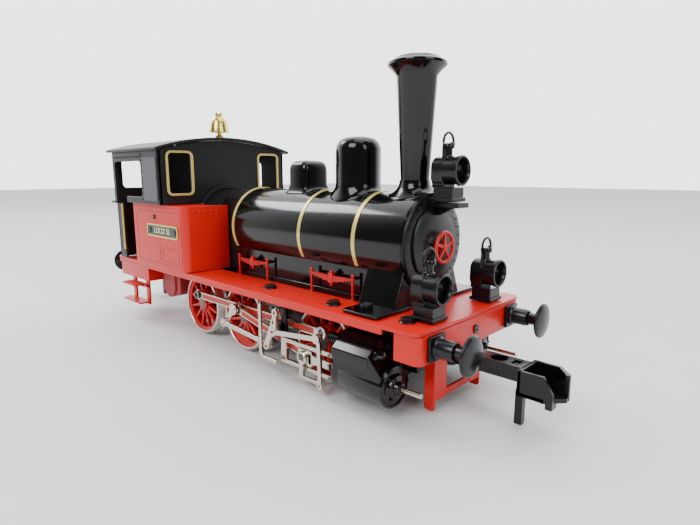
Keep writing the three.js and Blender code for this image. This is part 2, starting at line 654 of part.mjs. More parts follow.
// sliding crosshead with its piston rod, tail rod, drop arm and union link
function crosshead(side) {
  const x = crossheadX(side);
  const plateY = [side * 32.2, side * 33.7];
  const plate = block(x - 3.5, x + NECK_END, ...plateY, CYLINDER_Z - 1.6, CYLINDER_Z + 1.6);
  const shoe = block(x - 3.5, x + 5, ...plateY, CYLINDER_Z - 3.5, CYLINDER_Z + 3.5);
  const pin = rodY(x, side * 33.2, side * 35.2, CYLINDER_Z, 2.1, 12);
  const neck = block(x + NECK_START, x + NECK_END, side * 29.7, side * 33.7, CYLINDER_Z - 1.6,
    CYLINDER_Z + 1.6);
  const rod = rodX(x + NECK_START + 0.4, x + 58.3, side * CYLINDER_Y, CYLINDER_Z, 0.95, 10);
  const arm = block(x - 1.4, x + 1.4, side * 34, side * 35.2, 3.6, CYLINDER_Z - 0.4);
  const union = block(x - 1.4, x + LEVER_X - MID_STROKE_X + 1, side * 34, side * 35.2, 3.6, 6);
  return join(plate, shoe, pin, neck, rod, arm, union);
}

// hanger under the running board with the two slide bars and the outer link carrier
function motionBracket(side) {
  const inner = [side * 32.2, side * 33.7];
  const outer = [side * OUTER_LINK_Y, side * (OUTER_LINK_Y + 1.2)];
  const hanger = block(43, 46.5, ...inner, 7.3, 35.7);
  const bars = [7.3, 16.9].map((z) => block(43, CYLINDER_REAR_X - GAP, ...inner, z, z + 1.8));
  const shelf = block(31.4, 46.5, side * 32.2, side * 35.5, 31.9, 33.5);
  const top = block(36, 46.5, side * 29, side * 35.5, 34.2, 35.7);
  const post = block(31.4, 33.2, ...outer, 7, 33.5);
  const returnTop = block(31.4, 33.2, side * 32.2, side * (OUTER_LINK_Y + 1.2), 31.9, 33.5);
  const foot = block(31.4, 43.5, ...outer, 7, 8.6);
  const trunnion = rodY(LINK_X, side * 33.4, side * 37.3, LINK_Z, 1, 10);
  const web = block(38, 46.5, ...inner, LINK_Z - 2.5, LINK_Z + 2.5);
  return join(hanger, top, shelf, returnTop, post, foot, web, trunnion, ...bars);
}

function cylinderBlock(side) {
  const profile = [[22.3, 9], [30.6, 5.6], [38.3, 12], [38.3, 23.8], [30, 29.6], [22.3, 29.6]]
    .map(([y, z]) => [side * y, z]);
  const sidePlan = toShape([[CYLINDER_REAR_X, 4], [CYLINDER_FRONT_X, 4], [CYLINDER_FRONT_X, 18.2],
    [97.4, 23.6],
    [97.4, 31], [CYLINDER_REAR_X, 31]]);
  const chest = slabYZ(toShape(profile), CYLINDER_REAR_X, CYLINDER_FRONT_X)
    .intersect(slabXZ(sidePlan, side * 20, side * 40));
  const y = side * CYLINDER_Y;
  const barrel = rodX(CYLINDER_REAR_X, CYLINDER_FRONT_X, y, CYLINDER_Z, CYLINDER_R, 20);
  const cover = rodX(CYLINDER_FRONT_X - 0.5, CYLINDER_FRONT_X + 1.3, y, CYLINDER_Z, CYLINDER_R - 0.2, 20);
  const dome = rodX(CYLINDER_FRONT_X, CYLINDER_FRONT_X + 2.4, y, CYLINDER_Z, 4.6, 12);
  const gland = rodX(CYLINDER_FRONT_X, CYLINDER_FRONT_X + 4, y, CYLINDER_Z, 2.2, 10);
  const valveCover = rodX(95, 100.6, side * 31.6, 22.6, 3, 12);
  const spindleGuide = rodX(73.4, 80, side * 33, 25.4, 2.2, 10);
  const saddle = block(86, 97, side * (FRAME_HALF_WIDTH + GAP), side * 23, 18, 29);
  const bore = rodX(70, 120, y, CYLINDER_Z, 1.2, 10);
  const glandPocket = block(CYLINDER_REAR_X - 1, CYLINDER_REAR_X + GLAND_POCKET_DEPTH, side * 29.2,
    side * 34.2,
    CYLINDER_Z - 2.1, CYLINDER_Z + 2.1);
  const outside = join(chest, barrel, cover, dome, gland, valveCover, spindleGuide, saddle);
  return cut(outside, bore, glandPocket);
}

// ---------------------------------------------------------------- boiler and its fittings

function boilerShell() {
  const barrel = rodX(BOILER_REAR_X, BOILER_FRONT_X, 0, BOILER_Z, BOILER_R, 30);
  const bands = BAND_X.map((x) => rodX(x - 0.9, x + 0.9, 0, BOILER_Z, BOILER_R + 0.3, 30)
    .subtract(block(x - 3, x + 3, -30, 30, 30, SKIRT_TOP)));
  const skirt = block(BOILER_REAR_X, BOILER_FRONT_X, -SKIRT_HALF_WIDTH, SKIRT_HALF_WIDTH,
    DECK_TOP + GAP, SKIRT_TOP);
  const flangeY = WELL_HALF_WIDTH - GAP;
  const flange = block(BOILER_REAR_X, WELL_FRONT_X - GAP, -flangeY, flangeY, FRAME_TOP + GAP, 39.8);
  const firebox = rodX(CAB_FRONT_X + GAP, BOILER_REAR_X + 2, 0, BOILER_Z, FIREBOX_R, 32);
  const besideThroat = SIDES.map((side) => block(TANK_FRONT_X - 1.5, BOILER_REAR_X,
    side * THROAT_HALF_WIDTH, side * 30, 30, 90));
  const throat = block(CAB_FRONT_X + GAP, BOILER_REAR_X + 2, -THROAT_HALF_WIDTH, THROAT_HALF_WIDTH,
    DECK_TOP + GAP, BOILER_Z);
  const ring = rodX(CAB_FRONT_X + GAP, CAB_FRONT_X + 1.8, 0, BOILER_Z + 1, FIREBOX_R + 2, 32)
    .subtract(block(-60, -30, -40, 40, 30, TANK_TOP + GAP));
  const gussets = SIDES.map((side) => {
    const slope = toShape([[side * 22.6, DECK_TOP + GAP], [side * 16.2, 53.8], [side * 10, 53.8],
      [side * 10, DECK_TOP + GAP]]);
    return slabYZ(slope, 78.6, BOILER_FRONT_X);
  });
  const feet = SIDES.map((side) => block(81, 98.4, side * 12, side * 34.6, DECK_TOP + GAP, DECK_TOP + 1.5));
  const outside = join(barrel, ...bands, skirt, flange, cut(firebox, ...besideThroat), throat, ring,
    ...gussets, ...feet);
  const bore = rodX(BOILER_REAR_X + BOILER_WALL, BOILER_FRONT_X - BOILER_WALL, 0, BOILER_Z,
    BOILER_R - BOILER_WALL, 24);
  const under = block(BOILER_REAR_X + BOILER_WALL, 75, -14.6, 14.6, 30, 52);
  const motorGap = block(BOILER_REAR_X - 1, 0, -10.5, 10.5, 30, DECK_TOP + GAP);
  return cut(outside, bore, under, motorGap);
}

// cuts a fitting's underside to the boiler's curve and adds the thin saddle flange round its foot
function seatOnBoiler(body, footprint) {
  const skin = turnedX([[BOILER_R + GAP, -60], [BOILER_R + 1.5, -60], [BOILER_R + 1.5, 110],
    [BOILER_R + GAP, 110],
    [BOILER_R + GAP, -60]], 0, BOILER_Z, 30);
  const saddle = footprint.intersect(skin);
  const core = rodX(-60, 110, 0, BOILER_Z, BOILER_R + GAP, 30);
  return join(cut(body, core), saddle);
}

function chimney() {
  const outline = [[0, 78], [7.4, 78], [7, 83.4], [5.8, 86.4], [8.05, 126.2], [9.6, 128.2], [11.55, 130],
    [11.2, 131.2], [8.9, 132.8], [7.2, 132.8], [6.9, 128], [4.7, 90], [0, 90]];
  const foot = turnedZ([[0, 70], [10.4, 70], [10.4, 90], [0, 90]], CHIMNEY_X, 0);
  return seatOnBoiler(turnedZ(outline, CHIMNEY_X, 0), foot);
}

function steamDome() {
  const outline = [[0, 72], [10.4, 72], [10, 80], [10, 98]];
  for (let step = 1; step <= 4; step += 1) {
    const angle = step / 4 * Math.PI / 2;
    outline.push([10 * Math.cos(angle) ** 0.7, 98 + 7 * Math.sin(angle)]);
  }
  outline[outline.length - 1][0] = 0;
  const foot = turnedZ([[0, 65], [12.8, 65], [12.8, 90], [0, 90]], STEAM_DOME_X, 0);
  return seatOnBoiler(turnedZ(outline, STEAM_DOME_X, 0), foot);
}

function sandDome() {
  const x = SAND_DOME_X;
  const block1 = slabXY(roundedRect(x - 6.6, x + 6.6, -7.8, 7.8, 3), 70, 92.6);
  const crown = slabXY(roundedRect(x - 5.6, x + 5.6, -6.8, 6.8, 3), 92, 94.2);
  const top = slabXY(roundedRect(x - 4, x + 4, -5.2, 5.2, 2.6), 94, 95.2);
  const foot = slabXY(roundedRect(x - 8, x + 8, -9.4, 9.4, 1.5), 66, 90, 2);
  return seatOnBoiler(join(block1, crown, top), foot);
}

function smokeboxFront() {
  const outline = [[0, 97.3], [19.8, 97.3], [19.4, 98.8], [15.4, 98.9], [15, 99.6], [12, 100.4], [6,
    100.9], [0, 101]];
  const disc = turnedX(outline, 0, BOILER_Z, 32);
  const bracket = block(98.4, 111.2, -3.8, 3.8, 76.2, 78.1);
  const web = slabXZ(toShape([[98.4, 73], [101, 73], [109, 77.2], [98.4, 77.2]]), -1.2, 1.2);
  return join(disc, bracket, web);
}

function handwheel() {
  const z = 60.6;
  const ring = turnedX([[5.2, 102.4], [6.6, 102.4], [6.6, 103.8], [5.2, 103.8], [5.2, 102.4]], 0, z, 20);
  const hub = rodX(101.3, 104.2, 0, z, 1.6, 10);
  const spokes = [];
  for (let spoke = 0; spoke < 5; spoke += 1) {
    const bar = new THREE.BoxGeometry(1, 1.2, 4.8);
    bar.translate(103.1, 0, 3.2);
    bar.rotateX(spoke / 5 * Math.PI * 2);
    bar.translate(0, 0, z);
    spokes.push(solid(bar));
  }
  return join(ring, hub, ...spokes);
}

function lantern(rimX, y, baseZ) {
  const axisZ = baseZ + 11.6;
  const backX = rimX - 11.2;
  const base = block(backX + 0.6, rimX - 1.8, y - 4.2, y + 4.2, baseZ, baseZ + 6.4);
  const caseShape = [];
  for (let step = 0; step <= 6; step += 1) {
    const angle = step / 6 * Math.PI;
    caseShape.push([y + 5 * Math.cos(angle), axisZ + 1.2 + 4 * Math.sin(angle) ** 0.5]);
  }
  caseShape.push([y - 5, axisZ - 3.4], [y - 3.8, axisZ - 5.4], [y + 3.8, axisZ - 5.4], [y + 5, axisZ - 3.4]);
  const casing = slabYZ(toShape(caseShape), backX, rimX - 2);
  const rim = rodX(rimX - 4, rimX, y, axisZ, 5.8, 14);
  const bore = rodX(rimX - 8, rimX + 1, y, axisZ, 4.7, 10);
  const capX = backX + 4.4;
  const cap = rodZ(capX, y, axisZ + 4.6, axisZ + 9.6, 1.7, 8);
  const brim = rodZ(capX, y, axisZ + 8.4, axisZ + 10.2, 2.4, 8);
  const arch = new THREE.Shape();
  arch.absarc(0, 0, 3.9, 0, Math.PI, false);
  arch.lineTo(-3.9, -6.4);
  arch.lineTo(-2.9, -6.4);
  arch.lineTo(-2.9, 0);
  arch.absarc(0, 0, 2.9, Math.PI, 0, true);
  const loop = slabYZ(arch, -0.5, 0.5, 4).translate([capX, y, axisZ + 10.6]);
  const loopFoot = block(capX - 0.5, capX + 0.5, y + 1, y + 3.9, axisZ + 9.2, axisZ + 10.8);
  return join(cut(join(base, casing, rim), bore), cap, brim, loop, loopFoot);
}

// ---------------------------------------------------------------- cab and tanks

const ROOF_RISE = ROOF_CROWN_Z - ROOF_EDGE_Z;
const ROOF_RADIUS = (ROOF_HALF_WIDTH ** 2 + ROOF_RISE ** 2) / (2 * ROOF_RISE);
const roofTop = (y) => ROOF_CROWN_Z - ROOF_RADIUS + Math.sqrt(ROOF_RADIUS ** 2 - y ** 2);

// section in Y and Z whose top follows the roof, lowered by drop
function archedShape(halfWidth, bottom, drop) {
  const points = [[-halfWidth, bottom], [halfWidth, bottom]];
  for (let step = 0; step <= 10; step += 1) {
    const y = halfWidth - step / 10 * halfWidth * 2;
    points.push([y, roofTop(y) - drop]);
  }
  return toShape(points);
}

function cabRoof() {
  const whole = slabYZ(archedShape(ROOF_HALF_WIDTH, 90, 0), ROOF_REAR_X, ROOF_FRONT_X);
  const under = slabYZ(archedShape(ROOF_HALF_WIDTH + 1, 80, ROOF_THICK), ROOF_REAR_X - 1, ROOF_FRONT_X + 1);
  return cut(whole, under);
}

function windowShape(y0, y1, z0, z1, r) {
  return roundedRect(Math.min(y0, y1), Math.max(y0, y1), z0, z1, r);
}

function cabBody() {
  const wallTop = ROOF_THICK + GAP;
  const wallBottom = TANK_TOP + GAP;
  const upper = slabYZ(archedShape(CAB_HALF_WIDTH, wallBottom, wallTop), CAB_REAR_X, CAB_FRONT_X);
  const inner = CAB_HALF_WIDTH - CAB_WALL;
  const hollow = block(CAB_REAR_X + CAB_WALL, CAB_FRONT_X - CAB_WALL, -inner, inner, 60, 130);
  const doorFront = TANK_REAR_X - GAP;
  const doorRear = -101.5;
  const lower = block(BUNKER_REAR_X, -99, -TANK_OUTER_Y, TANK_OUTER_Y, DECK_TOP + GAP, wallBottom + 0.4);
  const lowerInner = TANK_OUTER_Y - CAB_WALL;
  const bunkerHollow = block(BUNKER_REAR_X + CAB_WALL, -90, -lowerInner, lowerInner, 30,
    BUNKER_TOP - CAB_WALL);
  const ledge = block(BUNKER_REAR_X, -99, -CAB_HALF_WIDTH, CAB_HALF_WIDTH, BUNKER_TOP - CAB_WALL,
    wallBottom + 0.4);
  const ledgeHollow = block(CAB_REAR_X + CAB_WALL, -90, -lowerInner, lowerInner, 60, 80);
  const front = block(CAB_FRONT_X - CAB_WALL, CAB_FRONT_X, -THROAT_HALF_WIDTH, THROAT_HALF_WIDTH,
    DECK_TOP + GAP, wallBottom + 0.5);
  const frames = SIDES.map((side) => slabYZ(windowShape(side * 21.4, side * 37.3, 77, 101, 3.2),
    CAB_FRONT_X - 0.5, CAB_FRONT_X + 0.7));
  const frontWindows = SIDES.map((side) => slabYZ(windowShape(side * 22.6, side * 36.1, 78.2, 99.8, 2.2),
    CAB_FRONT_X - 3, CAB_FRONT_X + 3));
  const rearWindows = SIDES.map((side) => slabYZ(windowShape(side * 19, side * 36.5, 80.3, 97.5, 2.5),
    CAB_REAR_X - 3, CAB_REAR_X + 3));
  const sideWindow = slabXZ(roundedRect(doorRear, -67, 76, 95.7, 2.2), -50, 50);
  const doorway = block(doorRear, doorFront, -50, 50, 30, 80);
  const shell = join(cut(upper, hollow), cut(join(lower, ledge), bunkerHollow, ledgeHollow), front,
    ...frames);
  return cut(shell, ...frontWindows, ...rearWindows, sideWindow, doorway);
}

function sideTank(side) {
  const y0 = Math.min(side * TANK_INNER_Y, side * TANK_OUTER_Y);
  const y1 = Math.max(side * TANK_INNER_Y, side * TANK_OUTER_Y);
  const r = 3.6;
  const bottom = DECK_TOP + GAP;
  const rounded = slabXY(roundedRect(TANK_REAR_X, TANK_FRONT_X, y0, y1, r), bottom, TANK_TOP);
  const squared = block(TANK_REAR_X, TANK_FRONT_X - r, y0, y1, bottom, TANK_TOP);
  const innerHalf = block(TANK_REAR_X, TANK_FRONT_X, side * TANK_INNER_Y,
    side * (TANK_INNER_Y + r + 1), bottom, TANK_TOP);
  const outside = join(rounded, squared, innerHalf);
  const barrelCut = rodX(CAB_FRONT_X - 0.5, TANK_FRONT_X - 1.2, 0, BOILER_Z, FIREBOX_R + 0.5, 32);
  const ringCut = rodX(CAB_FRONT_X - 0.5, CAB_FRONT_X + 2.2, 0, BOILER_Z + 1, FIREBOX_R + 2.3, 32);
  const wall = 1.2;
  const cavity = block(TANK_REAR_X + wall, TANK_FRONT_X - wall - 1.2, side * (TANK_INNER_Y + wall),
    side * (TANK_OUTER_Y - wall), bottom - 2, TANK_TOP - wall);
  const keep = rodX(TANK_REAR_X - 5, TANK_FRONT_X + 5, 0, BOILER_Z, FIREBOX_R + 3.6, 24);
  const plate = slabXZ(roundedRect(-69.6, -34.4, 54.2, 61.4, 1.6), side * (TANK_OUTER_Y - 0.5),
    side * (TANK_OUTER_Y + 0.8));
  return join(cut(outside, barrelCut, ringCut, cut(cavity, keep)), plate);
}

function bell() {
  const outline = [[0, 109.4], [2.6, 109.4], [2.6, 110.2], [1.3, 110.8], [1.3, 112.4], [5.7, 112.4],
    [5.3, 115],
    [4.8, 118], [3.6, 120.4], [0.8, 121.6], [0.8, 123.6], [0, 123.6]];
  return turnedZ(outline, -52, 0, 18);
}

// ---------------------------------------------------------------- assembly

const locomotive = new THREE.Group();
const add = (name, body, look) => locomotive.add(toMesh(name, body, look));
const ends = { front: 1, rear: -1 };
const sideName = (side) => (side === RIGHT ? 'right' : 'left');

add('running_board', runningBoard(), red());
add('front_buffer_beam', frontBeam(), red());
add('rear_buffer_beam', rearBeam(), red());
add('guard_irons', guardIrons(), red());
add('chassis_frame', frame(), satinBlack());
add('motor', motor(), darkSteel());
add('worm_shaft', wormShaft(), brass());
add('boiler_shell', boilerShell(), glossBlack());
add('smokebox_front', smokeboxFront(), glossBlack());
add('door_handwheel', handwheel(), red());
add('chimney', chimney(), glossBlack());
add('steam_dome', steamDome(), glossBlack());
add('sand_dome', sandDome(), glossBlack());
add('cab_body', cabBody(), satinBlack());
add('cab_roof', cabRoof(), satinBlack());
add('bell', bell(), brass());
add('lantern_top', lantern(110.6, 0, 78.4), satinBlack());
for (const side of SIDES) {
  const hand = sideName(side);
  add(`lantern_${hand}`, lantern(117.3, side * 20.3, DECK_TOP + GAP), satinBlack());
  add(`side_tank_${hand}`, sideTank(side), red());
  add(`cylinder_${hand}`, cylinderBlock(side), glossBlack());
  add(`motion_bracket_${hand}`, motionBracket(side), nickel());
  add(`crosshead_${hand}`, crosshead(side), nickel());
  add(`coupling_rod_${hand}`, couplingRod(side), nickel());
  add(`connecting_rod_${hand}`, connectingRod(side), nickel());
  add(`return_crank_${hand}`, returnCrank(side), nickel());
  add(`eccentric_rod_${hand}`, eccentricRod(side), nickel());
  add(`expansion_link_${hand}`, expansionLink(side), nickel());
  add(`radius_rod_${hand}`, radiusRod(side), nickel());
  add(`combination_lever_${hand}`, combinationLever(side), nickel());
  for (const which of Object.keys(AXLE_X)) add(`wheel_${which}_${hand}`, wheel(which, side), red());
}
for (const which of Object.keys(AXLE_X)) add(`axle_${which}`, axle(which), darkSteel());
for (const [where, end] of Object.entries(ends)) {
  add(`coupler_${where}`, coupler(end), satinBlack());
  for (const side of SIDES) {
    // turning a housing end for end also swaps its side
    const placed = end > 0 ? side : -side;
    add(`buffer_housing_${where}_${sideName(side)}`, bufferHousing(end, placed), satinBlack());
    add(`buffer_plunger_${where}_${sideName(side)}`, bufferPlunger(end, placed), satinBlack());
  }
}

export default locomotive;
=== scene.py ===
import math

import bmesh
import bpy
from mathutils import Matrix, Vector
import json


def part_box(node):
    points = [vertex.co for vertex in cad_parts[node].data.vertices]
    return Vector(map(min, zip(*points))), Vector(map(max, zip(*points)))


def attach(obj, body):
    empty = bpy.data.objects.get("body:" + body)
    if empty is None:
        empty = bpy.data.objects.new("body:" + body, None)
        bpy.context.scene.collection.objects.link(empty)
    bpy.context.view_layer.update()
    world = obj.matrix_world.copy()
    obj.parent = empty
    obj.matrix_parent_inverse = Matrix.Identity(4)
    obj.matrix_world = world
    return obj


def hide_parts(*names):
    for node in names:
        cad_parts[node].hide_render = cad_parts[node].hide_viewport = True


with open("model.json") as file:
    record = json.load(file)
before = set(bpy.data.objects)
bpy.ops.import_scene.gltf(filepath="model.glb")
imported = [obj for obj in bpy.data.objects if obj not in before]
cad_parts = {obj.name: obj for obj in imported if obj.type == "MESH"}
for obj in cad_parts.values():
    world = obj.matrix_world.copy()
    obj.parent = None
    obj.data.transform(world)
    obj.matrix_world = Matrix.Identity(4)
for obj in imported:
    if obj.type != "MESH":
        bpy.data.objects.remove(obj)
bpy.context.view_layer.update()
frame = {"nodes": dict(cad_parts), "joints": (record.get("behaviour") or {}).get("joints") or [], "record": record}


MM = 0.001
SIDES = {"right": -1, "left": 1}
ENDS = {"front": 1, "rear": -1}
JOINTS = {joint["name"]: joint for joint in frame["joints"]}
BODY_OF = {node: body for body, nodes in frame["record"]["behaviour"]["bodies"].items() for node in nodes}


def span(node):
    low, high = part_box(node)
    return low / MM, high / MM


def pivot(name):
    return Vector(JOINTS[name]["pos_m"]) / MM


# ---------------------------------------------------------------- materials

def shader(name, colour, roughness, metallic=0.0, coat=0.0, speckle=0.04, bump=0.02, grain=260.0,
    shine=0.5):
    look = bpy.data.materials.new(name)
    look.use_nodes = True
    nodes, links = look.node_tree.nodes, look.node_tree.links
    surface = nodes["Principled BSDF"]
    surface.inputs["Metallic"].default_value = metallic
    surface.inputs["Coat Weight"].default_value = coat
    surface.inputs["Coat Roughness"].default_value = 0.06
    surface.inputs["Specular IOR Level"].default_value = shine
    place = nodes.new("ShaderNodeTexCoord")
    cloud = nodes.new("ShaderNodeTexNoise")
    cloud.inputs["Scale"].default_value = 38.0
    cloud.inputs["Detail"].default_value = 5.0
    links.new(place.outputs["Object"], cloud.inputs["Vector"])
    tint = nodes.new("ShaderNodeMixRGB")
    tint.inputs["Color1"].default_value = (*[c * (1 - speckle * 2) for c in colour], 1)
    tint.inputs["Color2"].default_value = (*[min(1,
        c * (1 + speckle * 2) + speckle * 0.01) for c in colour], 1)
    links.new(cloud.outputs["Fac"], tint.inputs["Fac"])
    links.new(tint.outputs["Color"], surface.inputs["Base Color"])
    fine = nodes.new("ShaderNodeTexNoise")
    fine.inputs["Scale"].default_value = grain
    fine.inputs["Detail"].default_value = 3.0
    links.new(place.outputs["Object"], fine.inputs["Vector"])
    polish = nodes.new("ShaderNodeMapRange")
    polish.inputs["To Min"].default_value = max(0.02, roughness - 0.06)
    polish.inputs["To Max"].default_value = roughness + 0.06
    links.new(fine.outputs["Fac"], polish.inputs["Value"])
    links.new(polish.outputs["Result"], surface.inputs["Roughness"])
    relief = nodes.new("ShaderNodeBump")
    relief.inputs["Strength"].default_value = bump
    relief.inputs["Distance"].default_value = 0.0004
    links.new(fine.outputs["Fac"], relief.inputs["Height"])
    links.new(relief.outputs["Normal"], surface.inputs["Normal"])
    return look


RED = shader("red_enamel", (0.6, 0.006, 0.002), 0.36, coat=0.04, speckle=0.02, bump=0.03, grain=420,
    shine=0.35)
WHEEL_RED = shader("red_moulded", (0.5, 0.006, 0.004), 0.38, coat=0.04, speckle=0.03, bump=0.04, shine=0.35)
GLOSS = shader("black_gloss_enamel", (0.002, 0.002, 0.0024), 0.12, speckle=0.1, bump=0.012, grain=180,
    shine=0.4)
SEMI = shader("black_semi_gloss", (0.003, 0.003, 0.0034), 0.3, speckle=0.1, bump=0.03, grain=400,
    shine=0.35)
SATIN = shader("black_satin_sheet", (0.006, 0.006, 0.007), 0.42, speckle=0.08, bump=0.05, grain=700,
    shine=0.35)
# The black cab sheet made lighter grey for the cab side panel: painted light.
PAINTED_LIGHT_PANEL = shader("black_panel_painted_light", (0.07, 0.07, 0.078), 0.5, speckle=0.06, bump=0.06, grain=900)
PLASTIC = shader("black_moulded", (0.004, 0.004, 0.005), 0.24, speckle=0.1, bump=0.06, grain=600,
    shine=0.35)
NICKEL = shader("nickel_plate", (0.62, 0.57, 0.48), 0.24, metallic=1.0, speckle=0.05, bump=0.05, grain=500)
STEEL = shader("turned_steel", (0.62, 0.58, 0.53), 0.3, metallic=0.9, speckle=0.05, bump=0.05, grain=350)
DARK_STEEL = shader("dark_steel", (0.16, 0.155, 0.15), 0.4, metallic=0.9, speckle=0.1, bump=0.08)
GOLD = shader("gold_lacquer", (0.72, 0.58, 0.17), 0.34, metallic=0.5, speckle=0.05, bump=0.04, grain=500)
BRASS = shader("polished_brass", (0.75, 0.56, 0.14), 0.25, metallic=1.0, speckle=0.05, bump=0.03)
# Red made darker for the drum under the deck: painted shade.
PAINTED_SHADE_RED = shader("red_painted_shade", (0.3, 0.012, 0.014), 0.5, speckle=0.06, bump=0.05)
LINING = shader("dark_lining", (0.07, 0.008, 0.008), 0.4, speckle=0.08, bump=0.02)
FLUTE = shader("red_flute", (0.5, 0.02, 0.012), 0.4, speckle=0.06, bump=0.05)
PLATE_GREEN = shader("plate_green", (0.015, 0.045, 0.03), 0.4, speckle=0.06, bump=0.04, grain=500)
CREAM = shader("plate_letters", (0.8, 0.72, 0.45), 0.4, speckle=0.04, bump=0.03, grain=500)


# ---------------------------------------------------------------- mesh helpers

def lift(axis, u, v, w):
    return {"x": (w, u, v), "y": (u, w, v), "z": (u, v, w)}[axis]


def circle(u, v, r, count=28, start=0.0, turn=360.0):
    steps = count if turn < 360 else count - 1
    return [(u + r * math.cos(math.radians(start + turn * i / count)),
             v + r * math.sin(math.radians(start + turn * i / count))) for i in range(steps + 1)]


def sweep(u, v, ru, rv, start, end, step):
    """Points of an arc whose two half-axes may differ in sign, in whole degrees."""
    return [(u + ru * math.cos(math.radians(t)), v + rv * math.sin(math.radians(t)))
            for t in range(start, end, step)]


def rounded(u0, u1, v0, v1, r, count=5):
    corners = [(u1 - r, v0 + r, -90), (u1 - r, v1 - r, 0), (u0 + r, v1 - r, 90), (u0 + r, v0 + r, 180)]
    return [p for u, v, start in corners for p in circle(u, v, r, count, start, 90)]


def prism(mesh, outline, axis, a, b, holes=()):
    edges = []
    for loop in (outline, *holes):
        verts = [mesh.verts.new(lift(axis, u, v, a)) for u, v in loop]
        edges += [mesh.edges.new((verts[i - 1], verts[i])) for i in range(len(verts))]
    if holes:
        made = bmesh.ops.triangle_fill(mesh, use_beauty=True, edges=edges)["geom"]
        faces = [g for g in made if isinstance(g, bmesh.types.BMFace)]
    else:
        faces = bmesh.ops.contextual_create(mesh, geom=edges)["faces"]
    raised = bmesh.ops.extrude_face_region(mesh, geom=faces)["geom"]
    moved = [g for g in raised if isinstance(g, bmesh.types.BMVert)]
    bmesh.ops.translate(mesh, verts=moved, vec=Vector(lift(axis, 0, 0, b - a)))


def box(mesh, x0, x1, y0, y1, z0, z1):
    prism(mesh, [(x0, min(y0, y1)), (x1, min(y0, y1)), (x1, max(y0, y1)), (x0, max(y0, y1))], "z", z0, z1)


def lathe(mesh, profile, axis, u, v, count=56):
    rings = []
    for r, w in profile:
        if r < 1e-6:
            rings.append([mesh.verts.new(lift(axis, u, v, w))])
        else:
            rings.append([mesh.verts.new(lift(axis, *p, w)) for p in circle(u, v, r, count)])
    for low, high in zip(rings, rings[1:]):
        for i in range(count):
            corners = [low[i % len(low)], low[(i + 1) % len(low)], high[(i + 1) % len(high)],
                high[i % len(high)]]
            unique = list(dict.fromkeys(corners))
            if len(unique) > 2:
                mesh.faces.new(unique)


def rod(mesh, axis, u, v, a, b, r, count=28, chamfer=0.2):
    sign = 1 if b > a else -1
    c = min(chamfer, r * 0.4, abs(b - a) * 0.4)
    lathe(mesh, [(0, a), (r - c, a), (r, a + c * sign), (r, b - c * sign), (r - c, b), (0, b)], axis, u,
        v, count)


def bridge(mesh, rings):
    """Skin between rings of equal length."""
    count = len(rings[0])
    for low, high in zip(rings, rings[1:]):
        for i in range(count):
            mesh.faces.new((low[i], low[(i + 1) % count], high[(i + 1) % count], high[i]))


def wire(mesh, path, r, count=10):
    rings = []
    for i, point in enumerate(path):
        before, after = Vector(path[max(i - 1, 0)]), Vector(path[min(i + 1, len(path) - 1)])
        turn = (after - before).to_track_quat("Z", "Y")
        rings.append([mesh.verts.new(Vector(point) + turn @ Vector((x, y, 0))) for x,
            y in circle(0, 0, r, count)])
    bridge(mesh, rings)
    mesh.faces.new(rings[0])
    mesh.faces.new(rings[-1])


def bone(a, b, half, ra, rb, count=18):
    """Outline of a bar from a to b with a round boss at each end."""
    heading = math.degrees(math.atan2(b[1] - a[1], b[0] - a[0]))
    alpha = math.degrees(math.asin(min(1, half / ra)))
    beta = math.degrees(math.asin(min(1, half / rb)))
    return (circle(*a, ra, count, heading + alpha, 360 - 2 * alpha)
            + circle(*b, rb, count, heading + 180 + beta, 360 - 2 * beta))


def piece(name, mesh, look, node, bevel=0.25, segments=2, sharp=38):
    bmesh.ops.recalc_face_normals(mesh, faces=mesh.faces)
    mesh.transform(Matrix.Scale(MM, 4))
    data = bpy.data.meshes.new(name)
    mesh.to_mesh(data)
    mesh.free()
    obj = bpy.data.objects.new(name, data)
    bpy.context.scene.collection.objects.link(obj)
    data.materials.append(look)
    data.polygons.foreach_set("use_smooth", [True] * len(data.polygons))
    if bevel:
        edge = obj.modifiers.new("soft_edges", "BEVEL")
        edge.width = bevel * MM
        edge.segments = segments
        edge.limit_method = "ANGLE"
        edge.angle_limit = math.radians(35)
        edge.harden_normals = True
        edge.use_clamp_overlap = True
    else:
        data.set_sharp_from_angle(angle=math.radians(sharp))
    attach(obj, BODY_OF[node])
    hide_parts(node)
    return obj


def fresh():
    return bmesh.new()


def sheet(name, look, node, outline, axis, a, b, bevel=0.25, segments=2, holes=()):
    """Piece made of one outline pushed along an axis."""
    mesh = fresh()
    prism(mesh, outline, axis, a, b, holes)
    return piece(name, mesh, look, node, bevel, segments)


def turned(name, look, node, profile, axis, u, v, count=56, sharp=38):
    """Piece made of one profile turned about an axis."""
    mesh = fresh()
    lathe(mesh, profile, axis, u, v, count)
    return piece(name, mesh, look, node, 0, sharp=sharp)


def slab(name, look, node, x0, x1, y0, y1, z0, z1, bevel=0.25, segments=2):
    """Piece made of one box."""
    mesh = fresh()
    box(mesh, x0, x1, y0, y1, z0, z1)
    return piece(name, mesh, look, node, bevel, segments)


def slotted_screw(name, node, look, axis, u, v, base, height, r):
    mesh = fresh()
    sign = 1 if height > 0 else -1
    top = base + height
    prism(mesh, [(u + r * math.cos(a), v + r * math.sin(a)) for a in
                 [math.radians(10 + i * (160 / 12)) for i in range(13)]], axis, base, top)
    prism(mesh, [(u + r * math.cos(a), v + r * math.sin(a)) for a in
                 [math.radians(190 + i * (160 / 12)) for i in range(13)]], axis, base, top)
    rod(mesh, axis, u, v, base, top - sign * abs(height) * 0.45, r * 0.97)
    return piece(name, mesh, look, node, 0.12)


